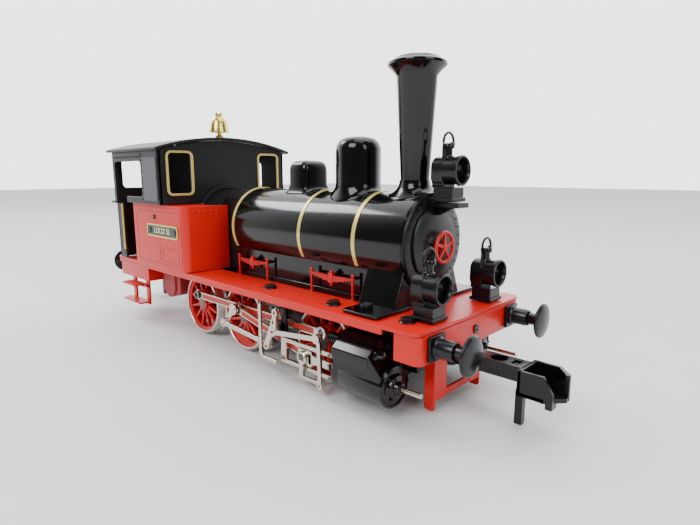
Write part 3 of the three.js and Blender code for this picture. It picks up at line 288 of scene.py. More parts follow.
def rivets(name, node, look, places, axis, out, r=0.42, tall=0.32):
    mesh = fresh()
    for u, v, w in places:
        profile = [(r, w), (r * 0.86, w + out * tall * 0.55), (r * 0.5, w + out * tall * 0.9),
            (0, w + out * tall)]
        lathe(mesh, profile, axis, u, v, 10)
    return piece(name, mesh, look, node, 0, sharp=80)


# ---------------------------------------------------------------- running board and beams

DECK_HIGH = span("running_board")[1]
DECK_TOP = span("boiler_shell")[0].z + 1.2
DECK_EDGE = DECK_HIGH.y
DECK_END = DECK_HIGH.x
DECK_THICK = 1.2
WELL = (-46, 77, 18)
LIP_THICK = 1.2
LIP_DEPTH = 3.4
DECK_SCREWS = ((28.8, 9.6), (70.7, 8.8), (106.8, 10))
SPRING_Y = 19.05
SPRINGS = {"rear": (-8, 15.2), "front": (47.4, 72.4)}
SPRING_LEAVES = ((0.99, 2.25), (0.97, 2.75), (0.8, 3.25), (0.62, 3.75), (0.42, 4.25))
LEAF_HALF_WIDTH = 0.8
DRUM_LOBES = ((-65.5, 24, 6.9), (-58.2, 23, 3.9))
LIP_END = 103


def running_board():
    plan = rounded(-DECK_END, DECK_END, -DECK_EDGE, DECK_EDGE, 4, 8)
    well = [(WELL[0], -WELL[2]), (WELL[1], -WELL[2]), (WELL[1], WELL[2]), (WELL[0], WELL[2])]
    sheet("deck_plate", RED, "running_board", plan, "z", DECK_TOP - DECK_THICK, DECK_TOP, holes=[well],
        bevel=0.35, segments=3)
    for hand, side in SIDES.items():
        edge = side * DECK_EDGE
        section = [(edge, DECK_TOP - 0.8), (edge, DECK_TOP - LIP_DEPTH),
                   (edge - side * LIP_THICK, DECK_TOP - LIP_DEPTH),
                   (edge - side * LIP_THICK, DECK_TOP - 0.8)]
        sheet(f"deck_lip_{hand}", RED, "running_board", section, "x", -DECK_END + 3, LIP_END, bevel=0.4,
            segments=3)
        for index, (x, inset) in enumerate(DECK_SCREWS):
            y = edge - side * inset
            mesh = fresh()
            rod(mesh, "z", x, y, DECK_TOP - 0.2, DECK_TOP + 0.5, 3.1)
            piece(f"deck_washer_{index}_{hand}", mesh, PLASTIC, "running_board", 0)
            slotted_screw(f"deck_screw_{index}_{hand}", "running_board", PLASTIC, "z", x, y,
                DECK_TOP + 0.4, 1.3, 2.5)
        for place, (x0, x1) in SPRINGS.items():
            leaf_spring(f"{place}_{hand}", x0, x1, side * SPRING_Y)
        under_deck_drum(hand, side)


def leaf_spring(tag, x0, x1, y):
    mesh = fresh()
    middle, half, top = (x0 + x1) / 2, (x1 - x0) / 2, DECK_HIGH.z
    for share, drop in SPRING_LEAVES:
        z = top - drop
        outline = [(middle - half * share, z - 0.22), (middle, z - 0.5), (middle + half * share, z - 0.22),
                   (middle + half * share, z + 0.22), (middle, z - 0.06), (middle - half * share, z + 0.22)]
        prism(mesh, outline, "y", y - LEAF_HALF_WIDTH, y + LEAF_HALF_WIDTH)
    box(mesh, middle - 1.35, middle + 1.35, y - 0.88, y + 0.88, top - 5.4, top - 1)
    rod(mesh, "z", middle, y, top - 1.2, top - 0.1, 0.8, 12)
    rod(mesh, "z", middle, y, top - 6.8, top - 5.2, 0.7, 12)
    for x in (x0, x1):
        rod(mesh, "z", x, y, DECK_TOP - 0.5, top - 0.6, 0.6, 12)
        lathe(mesh, [(0, top - 1.7), (0.6, top - 1.6), (0.86, top - 1), (0.6, top - 0.3), (0, top)], "z",
            x, y, 16)
        prism(mesh, circle(x, y, 0.86, 6), "z", top - 2.6, top - 1.9)
        prism(mesh, circle(x, y, 0.86, 6, 20), "z", top - 4.6, top - 3.9)
        rod(mesh, "z", x, y, DECK_TOP - 0.2, DECK_TOP + 0.7, 0.86, 14)
    piece(f"leaf_spring_{tag}", mesh, WHEEL_RED, "running_board", 0.1)


def under_deck_drum(hand, side):
    for index, (x, z, r) in enumerate(DRUM_LOBES):
        outline = circle(x, z, r, 40, 180, 180) + [(x + r, DECK_TOP - 0.9), (x - r, DECK_TOP - 0.9)]
        # The drum under the deck uses the darker red: painted shade from the deck above.
        sheet(f"under_deck_drum_{index}_{hand}", PAINTED_SHADE_RED, "running_board", outline, "y",
            *sorted((side * 18.1, side * (29.9 - index))), bevel=0.5, segments=3)


def beam_outline(x0, x1, half):
    r, wall = 3, 1.4
    outer = x1 > 0
    nose, tail = (x1, x0) if outer else (x0, x1)
    sign = 1 if outer else -1
    arc = sweep(nose - sign * r, half - r, sign * r, r, 0, 91, 15)
    inner = sweep(nose - sign * r, half - r, sign * (r - wall), r - wall, 0, 91, 15)
    outside = arc + [(tail, half), (tail, half - wall)] + inner[::-1]
    return outside + [(x, -y) for x, y in outside[::-1]]


def buffer_beams():
    low, high = span("front_buffer_beam")
    sheet("front_beam", RED, "front_buffer_beam", beam_outline(low.x, DECK_END, high.y), "z", low.z,
        high.z, bevel=0.3, segments=3)
    slotted_screw("front_beam_screw", "front_buffer_beam", PLASTIC, "x", 0, 30.9, DECK_END - 0.1, 0.8, 1.7)
    low, high = span("rear_buffer_beam")
    base = span("front_buffer_beam")[0].z
    mesh = fresh()
    prism(mesh, beam_outline(-DECK_END, high.x, 36), "z", base, high.z)
    for side in SIDES.values():
        box(mesh, high.x - 1.4, high.x, side * 20, side * 35, base, high.z)
    piece("rear_beam", mesh, RED, "rear_buffer_beam", 0.3, 3)
    slotted_screw("rear_beam_screw", "rear_buffer_beam", PLASTIC, "x", 0, 30.9, -DECK_END + 0.1, -0.8, 1.7)
    for hand, side in SIDES.items():
        step_set(hand, side, base)


def step_set(hand, side, base):
    y, outer = side * 33.6, side * span("rear_buffer_beam")[1].y
    mesh = fresh()
    for x in (-103, -85):
        hanger = [(x - 2, base + 1), (x - 2, 13), (x - 0.8, 11.2), (x + 0.8, 11.2), (x + 2, 13),
            (x + 2, base + 1)]
        prism(mesh, hanger, "y", y - 0.6, y + 0.6)
    for x0, x1, z in ((-107, -89, 21.2), (-107, -83, 11.2)):
        prism(mesh, rounded(x0, x1, *sorted((y, outer)), 1.2), "z", z, z + 1)
        box(mesh, x0 + 0.5, x1 - 0.5, y - 0.6, y + 0.6, z - 1.4, z + 0.8)
    box(mesh, -105, -83, y - 0.6, y + 0.6, 20.4, 22.4)
    piece(f"steps_{hand}", mesh, RED, "rear_buffer_beam", 0.22)


def guard_irons():
    low, high = span("guard_irons")
    mesh = fresh()
    box(mesh, low.x, high.x, low.y, high.y, high.z - 1.3, high.z)
    for side in SIDES.values():
        edge = side * high.y
        cheek = [(low.x, low.z + 0.5), (low.x + 0.8, low.z), (high.x - 0.8, low.z), (high.x, low.z + 0.5),
                 (high.x, high.z), (low.x, high.z)]
        prism(mesh, cheek, "y", edge - side * 1.2, edge)
        face = [(edge - side * 0.3, high.z), (edge - side * 0.3, 4.6), (side * 9.6, 4.6), (side * 8.4, 5.8),
                (side * 8.4, high.z)]
        prism(mesh, face, "x", high.x - 1.2, high.x - 0.04)
    piece("guard_iron_frame", mesh, RED, "guard_irons", 0.25, 3)
    slab("guard_iron_bar", RED, "guard_irons", high.x - 1.6, high.x - 0.2, -8.2, 8.2, 4.8, 7.6, segments=3)


BUFFER_Z = 31


def buffers():
    for where, end in ENDS.items():
        for hand in SIDES:
            low, high = span(f"buffer_housing_{where}_{hand}")
            y, z = (low.y + high.y) / 2, BUFFER_Z
            root, tip = (low.x, high.x) if end > 0 else (high.x, low.x)
            sheet(f"buffer_plate_{where}_{hand}", PLASTIC, f"buffer_housing_{where}_{hand}",
                rounded(low.y, high.y, low.z, high.z, 0.6), "x", root, root + end * 1.2, bevel=0.2)
            profile = [(2.72, root + end * 1.1), (3.9, root + end * 1.1), (3.9, root + end * 1.9),
                       (3.4, root + end * 2.4), (3.35, tip - end * 0.6), (3.1, tip), (2.75, tip), (2.72,
                           tip - end)]
            turned(f"buffer_barrel_{where}_{hand}", PLASTIC, f"buffer_housing_{where}_{hand}",
                profile + profile[:1], "x", y, z)
            node = f"buffer_plunger_{where}_{hand}"
            low, high = span(node)
            face, tail = (high.x, low.x) if end > 0 else (low.x, high.x)
            r = (high.z - low.z) / 2
            profile = [(0, tail), (2.5, tail), (2.5, face - end * 3.6), (2.9, face - end * 3.1),
                (4, face - end * 2.5),
                       (r - 0.5, face - end * 2.1), (r - 0.05, face - end * 1.8), (r, face - end * 1.4),
                       (r - 0.25, face - end * 1.05)]
            profile += [(r * s, face - end * 1.05 * s * s) for s in (0.85, 0.65, 0.45, 0.25, 0)]
            turned(f"buffer_head_{where}_{hand}", PLASTIC, node, profile, "x", (low.y + high.y) / 2,
                (low.z + high.z) / 2, count=64, sharp=60)


def couplers():
    for where, end in ENDS.items():
        node = f"coupler_{where}"
        low, high = span(node)
        top, tip, half = high.z, max(abs(low.x), abs(high.x)), high.y
        floor = 13
        wall = 1.3

        def out(points):
            return [(end * x, end * y) for x, y in points]

        mesh = fresh()
        box(mesh, end * 111, end * 124.8, -4.2, 4.2, 16.6, top)
        box(mesh, end * 132.4, end * 139.6, -4.2, 4.2, 16.6, top - 1.6)
        hole = circle(end * 128.6, 0, 3.1, 24)
        plate = [(end * 124.6, -4.2), (end * 132.6, -4.2), (end * 132.6, 4.2), (end * 124.6, 4.2)]
        prism(mesh, plate, "z", 18.6, top, [hole])
        box(mesh, end * 124.6, end * 132.6, -4.2, 4.2, 16.6, 18.8)
        slot = [(end * 134, -2.2), (end * 137, -2.2), (end * 137, 2.2), (end * 134, 2.2)]
        prism(mesh, [(end * 132.6, -4.2), (end * 139.8, -4.2), (end * 139.8, 4.2), (end * 132.6, 4.2)], "z",
              top - 1.8, top, [slot])
        box(mesh, end * 134.6, end * 136.4, -0.6, 0.6, top - 2, top - 0.5)
        rod(mesh, "z", end * 108, 0, 16.6, top, 3.6, 30)
        box(mesh, end * 108.5, end * 111.5, -3.4, 3.4, 16.6, top)
        piece(f"coupler_bar_{where}", mesh, PLASTIC, node, 0.25)

        mesh = fresh()
        plan = out([(139, -half), (148.8, -half), (tip, -1.4), (tip, 1.4), (148.8, half), (139, half)])
        prism(mesh, plan, "z", floor, floor + 1.6)
        box(mesh, end * 139, end * 140.4, -half, half, floor, top)
        far_wall = out([(140.2, half), (148.8, half), (tip, 1.4), (tip, 0.1), (152.6, 0.1), (152.4, 1),
                        (148.2, half - wall), (140.2, half - wall)])
        prism(mesh, far_wall, "z", floor, top)
        near = [(end * 139.2, floor), (end * 139.2, top), (end * 148.2, top), (end * 151.6, 16.8),
            (end * 151.6, floor)]
        prism(mesh, near, "y", -end * half, -end * (half - wall))
        ramp = [(end * 144, floor + 1), (end * 152.8, floor + 1), (end * 152.8, 20.6)]
        prism(mesh, ramp, "y", end * 0.4, end * 4.4)
        box(mesh, end * 137.6, end * 140.4, end * -4.6, end * -1.8, low.z, floor + 1)
        box(mesh, end * 148.6, end * 151, end * -5.6, end * -1.4, 10.4, floor + 0.8)
        rod(mesh, "z", end * 147, -end * 3.6, floor - 1.4, floor + 0.3, 1.2, 14)
        piece(f"coupler_head_{where}", mesh, PLASTIC, node, 0.22)


# ---------------------------------------------------------------- boiler

BOILER_Z = 61.7
BOILER_R = 19.75
BOILER = (-13.5, 97)
FIREBOX_R = 18.3
FIREBOX = (-45.5, -29.7)
SKIRT_HALF = 16.4
BANDS = (-11.7, 39.7, 73)


def boiler():
    node = "boiler_shell"
    rear, front = BOILER
    turned("boiler_barrel", GLOSS, node, [(0, rear), (BOILER_R - 0.4, rear), (BOILER_R, rear + 0.4),
        (BOILER_R, front - 0.5), (BOILER_R - 0.5, front), (0, front)], "x", 0, BOILER_Z, count=128)
    for index, x in enumerate(BANDS):
        outer = circle(0, BOILER_Z, BOILER_R + 0.3, 90, -30, 240)
        inner = circle(0, BOILER_Z, BOILER_R - 0.3, 90, -30, 240)
        sheet(f"boiler_band_{index}", GOLD, node, outer + inner[::-1], "x", x - 0.95, x + 0.95, bevel=0.15)
    slab("boiler_skirt", GLOSS, node, rear, front - 0.1, -SKIRT_HALF, SKIRT_HALF, DECK_TOP + 0.3, 51,
        bevel=0.3)
    slab("skirt_flange", GLOSS, node, rear, 76.6, -17.7, 17.7, DECK_TOP - 1.2, DECK_TOP + 2.4, bevel=0.4,
        segments=3)
    turned("firebox_barrel", SATIN, node, [(0, FIREBOX[0]), (FIREBOX_R, FIREBOX[0]),
        (FIREBOX_R, FIREBOX[1]), (0, FIREBOX[1])], "x", 0, BOILER_Z, count=96)
    mesh = fresh()
    box(mesh, -45.5, -11.6, -11.2, 11.2, DECK_TOP + 0.3, BOILER_Z)
    upper = circle(0, BOILER_Z, FIREBOX_R, 40, 52.3, 75.4)
    prism(mesh, [(11.2, BOILER_Z - 1), *upper, (-11.2, BOILER_Z - 1)], "x", -30, -13)
    piece("firebox_throat", mesh, SATIN, node, 0.3)
    arc = circle(0, BOILER_Z + 1, 20.25, 60, 31, 118)
    inner = circle(0, BOILER_Z + 1, 17.6, 60, 31, 118)
    sheet("firebox_flange", SATIN, node, arc + inner[::-1], "x", -45.5, -44.1, bevel=0.3)
    for hand, side in SIDES.items():
        slope = [(side * 22.6, DECK_TOP + 0.3), (side * 16.2, 53.8), (side * 10, 53.8),
            (side * 10, DECK_TOP + 0.3)]
        sheet(f"saddle_plate_{hand}", GLOSS, node, slope, "x", 78.6, front - 0.1, bevel=0.35, segments=3)
        sheet(f"saddle_foot_{hand}", GLOSS, node, rounded(81, 98.4, *sorted((side * 12, side * 34.6)),
            1.4), "z", DECK_TOP + 0.3, DECK_TOP + 1.5, bevel=0.3)
        sheet(f"saddle_bolt_{hand}", PLASTIC, node, circle(88, side * 27.6, 2.5, 6, 12), "z",
            DECK_TOP + 1.4, DECK_TOP + 3.4, bevel=0.3)


def smokebox_front():
    node = "smokebox_front"
    low, high = span(node)
    face = low.x
    r = (high.y - low.y) / 2
    turned("smokebox_ring", SEMI, node, [(0, face), (r - 0.3, face), (r, face + 0.3),
        (r - 0.1, face + 0.9), (r - 0.8, face + 1.4), (15.6, face + 1.5), (0, face + 1.5)], "x", 0,
        BOILER_Z, count=96)
    door = [(15.2, face + 1.2), (15.2, face + 2.1), (14.7, face + 2.5), (13.6, face + 2.6)]
    door += [(13.2 * s, face + 3.7 - 1 * s * s) for s in (0.95, 0.8, 0.6, 0.4, 0.2, 0)]
    turned("smokebox_door", SEMI, node, door, "x", 0, BOILER_Z, count=80, sharp=30)
    ring = [(u, v, face + 1.4) for u, v in circle(0, BOILER_Z, 17.7, 30, 6)]
    rivets("smokebox_rivets", node, SEMI, ring, "x", 1)
    mesh = fresh()
    box(mesh, face + 1.1, high.x, -3.8, 3.8, 76.2, 78.1)
    prism(mesh, [(face + 1.1, 73), (face + 3.6, 73), (face + 11.6, 76.6), (face + 1.1, 76.6)], "y", -1.2,
        1.2)
    piece("lantern_bracket", mesh, PLASTIC, node, 0.25)


def handwheel():
    low, high = span("door_handwheel")
    z, r = (low.z + high.z) / 2, (high.z - low.z) / 2
    middle = high.x - 0.7
    mesh = fresh()
    profile = [(r - 0.75 + 0.74 * math.cos(math.radians(t)), middle + 0.69 * math.sin(math.radians(t)))
               for t in range(0, 361, 30)]
    lathe(mesh, profile, "x", 0, z, 48)
    rod(mesh, "x", 0, z, low.x, high.x, 1.5, 20)
    for spoke in range(5):
        a = math.radians(90 + spoke * 72)
        v = Vector((math.cos(a), math.sin(a)))
        w = Vector((-v.y, v.x))
        points = [v * 1 + w * 0.75, v * (r - 1) + w * 0.5, v * (r - 1) - w * 0.5, v * 1 - w * 0.75]
        prism(mesh, [(p.x, z + p.y) for p in points], "x", middle - 0.5, middle + 0.4)
    piece("handwheel", mesh, WHEEL_RED, "door_handwheel", 0.12)


def saddle_skin(mesh, x, y, radius_x, radius_y, neck, rise, square=0.0, count=64, steps=9):
    """Flared foot that lies on the barrel's curve and sweeps up to an upright neck."""
    stages = [(1.0, -0.3, 0.0), (1.0, 0.3, 0.0)]
    for step in range(1, steps + 1):
        t = math.pi / 2 * step / steps
        stages.append((1 - (1 - neck) * math.sin(t), 0.3 + rise * (1 - math.cos(t)), step / steps))
    power = 2 / (2 + square)
    rings = []
    for share, height, flatten in stages:
        ring = []
        for i in range(count):
            t = math.radians(360 * i / count)
            c, s = math.cos(t), math.sin(t)
            u = x + math.copysign(abs(c) ** power, c) * radius_x * share
            v = y + math.copysign(abs(s) ** power, s) * radius_y * share
            curved = math.sqrt(max(0, BOILER_R ** 2 - v * v))
            base = BOILER_Z + curved * (1 - flatten) + BOILER_R * flatten
            ring.append(mesh.verts.new((u, v, base + height)))
        rings.append(ring)
    bridge(mesh, rings)
    mesh.faces.new(rings[-1])
    mesh.faces.new(rings[0][::-1])


def chimney():
    low, high = span("chimney")
    x, top = (low.x + high.x) / 2, high.z
    mesh = fresh()
    saddle_skin(mesh, x, 0, 10.4, 10.4, 0.59, 4.6)
    piece("chimney_saddle", mesh, GLOSS, "chimney", 0, sharp=60)
    profile = [(0, top - 51), (5.7, top - 51), (5.75, top - 46), (7.95, top - 7), (8.4, top - 6.2),
        (9.4, top - 4.9),
               (10.9, top - 3.6), (11.45, top - 3.1), (11.55, top - 2.6), (11.4, top - 2), (10.9,
                   top - 1.6),
               (9.9, top - 1.3), (9.2, top - 0.9), (8.7, top - 0.25), (8.2, top), (7.6, top - 0.1),
               (7.2, top - 0.8), (6.9, top - 4), (4.9, top - 42), (0, top - 42)]
    turned("chimney_pipe", GLOSS, "chimney", profile, "z", x, 0, count=96, sharp=32)


def domes():
    low, high = span("steam_dome")
    x, top, r = (low.x + high.x) / 2, high.z, 10
    mesh = fresh()
    saddle_skin(mesh, x, 0, 12.6, 12.6, 0.8, 3)
    piece("steam_dome_saddle", mesh, GLOSS, "steam_dome", 0, sharp=60)
    profile = [(0, 78), (r, 78), (r, top - 6.2)]
    profile += [(r - 5.2 + 5.2 * math.cos(math.radians(t)), top - 6.2 + 5.6 * math.sin(math.radians(t)))
                for t in range(10, 91, 10)]
    profile += [(2.4, top - 0.12), (0, top)]
    turned("steam_dome_shell", GLOSS, "steam_dome", profile, "z", x, 0, count=96, sharp=40)
    low, high = span("sand_dome")
    x, top = (low.x + high.x) / 2, high.z
    mesh = fresh()
    saddle_skin(mesh, x, 0, 8, 9.2, 0.84, 1.4, square=6)
    piece("sand_dome_saddle", mesh, GLOSS, "sand_dome", 0, sharp=60)
    mesh = fresh()
    rings = []
    for half_x, half_y, z in ((6.7, 7.9, 78.5), (6.6, 7.8, top - 4.6), (6.45, 7.65, top - 3.3),
        (6.1, 7.3, top - 2.1),
                              (5.4, 6.6, top - 1.1), (4.3, 5.5, top - 0.45), (2.6, 3.6, top - 0.05)):
        r = min(3, half_x * 0.5)
        ring = rounded(x - half_x, x + half_x, -half_y, half_y, r, 6)
        rings.append([mesh.verts.new((u, v, z)) for u, v in ring])
    bridge(mesh, rings)
    mesh.faces.new(rings[-1])
    mesh.faces.new(rings[0][::-1])
    piece("sand_dome_shell", mesh, GLOSS, "sand_dome", 0, sharp=50)


# ---------------------------------------------------------------- lanterns

def lantern(node):
    low, high = span(node)
    y = (low.y + high.y) / 2
    rim, back, base = high.x, low.x, low.z
    z = base + 11.6
    mesh = fresh()
    box(mesh, back + 0.2, rim - 1.4, y - 4.9, y + 4.9, base, base + 1.6)
    box(mesh, back + 0.8, rim - 2, y - 4.2, y + 4.2, base + 1.4, base + 5.4)
    section = [(y - 4.2, base + 5.2), (y + 4.2, base + 5.2), (y + 4, base + 6.6), (y + 5, base + 8.4)]
    section += [(y + 5 * math.cos(t),
        z + 1.4 + 3.9 * math.sin(t)) for t in [i * math.pi / 12 for i in range(13)]]
    section += [(y - 5, base + 8.4), (y - 4, base + 6.6)]
    prism(mesh, section, "x", back, rim - 6)
    piece(f"{node}_case", mesh, PLASTIC, node, 0.35, 3)
    r = (high.y - low.y) / 2
    profile = [(5.2, rim - 6.4), (5.3, rim - 1.7), (r, rim - 1.5), (r, rim - 0.3), (r - 0.3, rim),
        (4.9, rim),
               (4.6, rim - 0.4), (4.5, rim - 2.4), (4.2, rim - 3.4), (3, rim - 5.2), (1.4, rim - 5.9), (0,
                   rim - 6.1)]
    turned(f"{node}_rim", PLASTIC, node, profile, "x", y, z, count=56, sharp=40)
    cap = back + 4.4
    profile = [(2.3, z + 4.4), (2.1, z + 5.4), (1.6, z + 5.8), (1.6, z + 8), (2.3, z + 8.2),
        (2.35, z + 9.6),
               (2, z + 10.1), (0, z + 10.2)]
    turned(f"{node}_cap", PLASTIC, node, profile, "z", cap, y, count=28, sharp=40)
    mesh = fresh()
    loop = [(cap, y + 3.4 * math.cos(t), z + 10.6 + 3.4 * math.sin(t)) for t in
            [i * math.pi / 14 for i in range(15)]]
    wire(mesh, [*loop, (cap, y - 3.4, z + 8), (cap, y - 3.3, z + 4.2)], 0.5)
    box(mesh, cap - 0.5, cap + 0.5, y + 2, y + 3.9, z + 9.3, z + 10.6)
    piece(f"{node}_loop", mesh, PLASTIC, node, 0, sharp=60)


# ---------------------------------------------------------------- cab and tanks

ROOF_LOW, ROOF_HIGH = span("cab_roof")
ROOF_HALF = ROOF_HIGH.y
ROOF_RISE = 6.6
ROOF_RADIUS = (ROOF_HALF ** 2 + ROOF_RISE ** 2) / (2 * ROOF_RISE)
TANK_TOP = span("side_tank_right")[1].z
CAB_FRONT, CAB_REAR, BUNKER_REAR = -45.8, -104.5, -110
CAB_HALF, TANK_OUTER, DOOR_REAR = 41.5, 38.4, -101.5


def roof_z(y):
    return ROOF_HIGH.z - ROOF_RADIUS + math.sqrt(ROOF_RADIUS ** 2 - y * y)


def arch(half, count=24):
    return [(half - 2 * half * i / count, roof_z(half - 2 * half * i / count)) for i in range(count + 1)]


def window_hole(y0, y1, z0, z1, r=2.4):
    return rounded(min(y0, y1), max(y0, y1), z0, z1, r, 6)


def frame_ring(name, y0, y1, z0, z1, x0, x1, band=1.25):
    sheet(name, GOLD, "cab_body", window_hole(y0, y1, z0, z1, 3.2), "x", x0, x1,
        holes=[window_hole(min(y0, y1) + band, max(y0, y1) - band, z0 + band, z1 - band, 2.1)], bevel=0.3,
        segments=3)


def cab():
    node = "cab_body"
    wall = 1.5
    drop = 1.9
    bottom = TANK_TOP + 0.3
    mesh = fresh()
    top = [(y, z - drop) for y, z in arch(CAB_HALF)]
    holes = [window_hole(side * 22.6, side * 36.1, 78.2, 99.8) for side in SIDES.values()]
    prism(mesh, [(-CAB_HALF, bottom), (CAB_HALF, bottom), *top], "x", CAB_FRONT - wall, CAB_FRONT, holes)
    box(mesh, CAB_FRONT - wall, CAB_FRONT, -11.2, 11.2, DECK_TOP + 0.3, bottom + 0.4)
    piece("cab_front_wall", mesh, SATIN, node, 0.25)
    for hand, side in SIDES.items():
        frame_ring(f"front_window_frame_{hand}", side * 21.4, side * 37.3, 77, 101, CAB_FRONT - 0.4,
            CAB_FRONT + 0.7)
    holes = [window_hole(side * 19, side * 36.5, 80.3, 97.5) for side in SIDES.values()]
    sheet("cab_rear_wall", SATIN, node, [(-CAB_HALF, bottom), (CAB_HALF, bottom), *top], "x", CAB_REAR,
        CAB_REAR + wall, holes=holes)
    for hand, side in SIDES.items():
        cab_side(hand, side, bottom, drop, wall)
    mesh = fresh()
    box(mesh, BUNKER_REAR, BUNKER_REAR + wall, -TANK_OUTER, TANK_OUTER, DECK_TOP + 0.3, bottom - 0.2)
    box(mesh, BUNKER_REAR, CAB_REAR + wall, -CAB_HALF, CAB_HALF, bottom - 1.2, bottom + 0.2)
    piece("bunker_rear", mesh, SATIN, node, 0.3)
    places = [(y, z, BUNKER_REAR) for y in range(-36, 37, 4) for z in (DECK_TOP + 2, bottom - 3)]
    places += [(y, z, BUNKER_REAR) for y in (-36.8, 36.8) for z in range(44, 69, 4)]
    rivets("bunker_rivets", node, SATIN, places, "x", -1)


def cab_side(hand, side, bottom, drop, wall):
    node = "cab_body"
    inner, outer = side * (CAB_HALF - wall), side * CAB_HALF
    edge = roof_z(CAB_HALF) - drop
    x_door = -87.5
    outline = [(CAB_REAR, bottom), (DOOR_REAR, bottom), (DOOR_REAR, 93.5),
               *[(DOOR_REAR + 2.2 - 2.2 * math.cos(t), 93.5 + 2.2 * math.sin(t)) for t in (0.4, 0.8, 1.2)],
               (DOOR_REAR + 2.2, 95.7), (-69.2, 95.7),
               *[(-69.2 + 2.2 * math.sin(t), 93.5 + 2.2 * math.cos(t)) for t in (0.4, 0.8, 1.2)],
               (-67, 93.5), (-67, 78.2),
               *[(-69.2 + 2.2 * math.cos(t), 78.2 - 2.2 * math.sin(t)) for t in (0.4, 0.8, 1.2)],
               (-69.2, 76), (x_door, 76), (x_door, bottom), (CAB_FRONT, bottom), (CAB_FRONT,
                   edge), (CAB_REAR, edge)]
    sheet(f"cab_side_wall_{hand}", SATIN, node, outline, "y", *sorted((inner, outer)))
    face = side * (CAB_HALF - 0.1)
    # The cab side panel is the black cab sheet in a lighter grey: painted light on the side facing the lamps.
    sheet(f"cab_side_panel_{hand}", PAINTED_LIGHT_PANEL, node, rounded(-64.2, -48.2, bottom + 2, 97.5, 1.6), "y", face,
        face + side * 0.45, bevel=0.18)
    out = side * CAB_HALF
    places = [(x, z, out) for x in (-66, -46.9) for z in range(75, 100, 3)]
    places += [(x, 101.4, out) for x in range(-103, -45, 3)]
    places += [(x, 98, out) for x in range(-103, -65, 3)]
    rivets(f"cab_side_rivets_{hand}", node, PLASTIC, places, "y", side, 0.5, 0.4)
    base = DECK_TOP + 0.3
    y0, y1 = side * (TANK_OUTER - wall), side * TANK_OUTER
    sheet(f"bunker_side_{hand}", SATIN, node, [(BUNKER_REAR, base), (DOOR_REAR, base),
        (DOOR_REAR, bottom - 0.3), (BUNKER_REAR, bottom - 0.3)], "y", *sorted((y0, y1)), bevel=0.3)
    places = [(x, z, y1) for x in (-108.8, -103.6) for z in range(40, 71, 3)]
    rivets(f"bunker_side_rivets_{hand}", node, PLASTIC, places, "y", side, 0.45)
    mesh = fresh()
    rod(mesh, "z", DOOR_REAR + 0.1, side * (TANK_OUTER + 0.5), 43, 70.6, 0.55, 16)
    for z in (43.6, 70):
        rod(mesh, "y", DOOR_REAR + 0.1, z, side * (TANK_OUTER - 0.6), side * (TANK_OUTER + 0.9), 0.8, 14)
    piece(f"handrail_{hand}", mesh, BRASS, node, 0)


def cab_roof():
    outer = arch(ROOF_HALF, 32)
    under = [(y, z - 1.6) for y, z in outer]
    sheet("roof_sheet", SATIN, "cab_roof", outer + under[::-1], "x", ROOF_LOW.x, ROOF_HIGH.x, bevel=0.45,
        segments=3)


def bell():
    low, high = span("bell")
    x, base, top = (low.x + high.x) / 2, low.z, high.z
    r = (high.x - low.x) / 2
    profile = [(0, base), (2.6, base), (2.6, base + 0.7), (1.4, base + 1.3), (1.3, base + 3),
        (r - 0.6, base + 3),
               (r, base + 3.1), (r - 0.05, base + 3.7), (r - 0.35, base + 5.2), (r - 0.75, base + 7.4),
               (r - 1.3, base + 9.2), (r - 2.3, base + 10.8), (r - 3.8, base + 11.8), (0, base + 12)]
    turned("bell_body", BRASS, "bell", profile, "z", x, 0, count=56, sharp=45)
    mesh = fresh()
    for offset in (-1.5, 1.5):
        rod(mesh, "z", x, offset, base + 10, top, 0.6, 14)
    rod(mesh, "z", x, 0, base + 11.6, top - 0.8, 0.9, 16)
    piece("bell_hanger", mesh, BRASS, "bell", 0)


TANK_X = (-87.2, -28.1)
TANK_INNER = 11.7
TANK_SHOULDER = 19.6
TANK_CORNER = 3.6
TANK_SHEET = 1.3


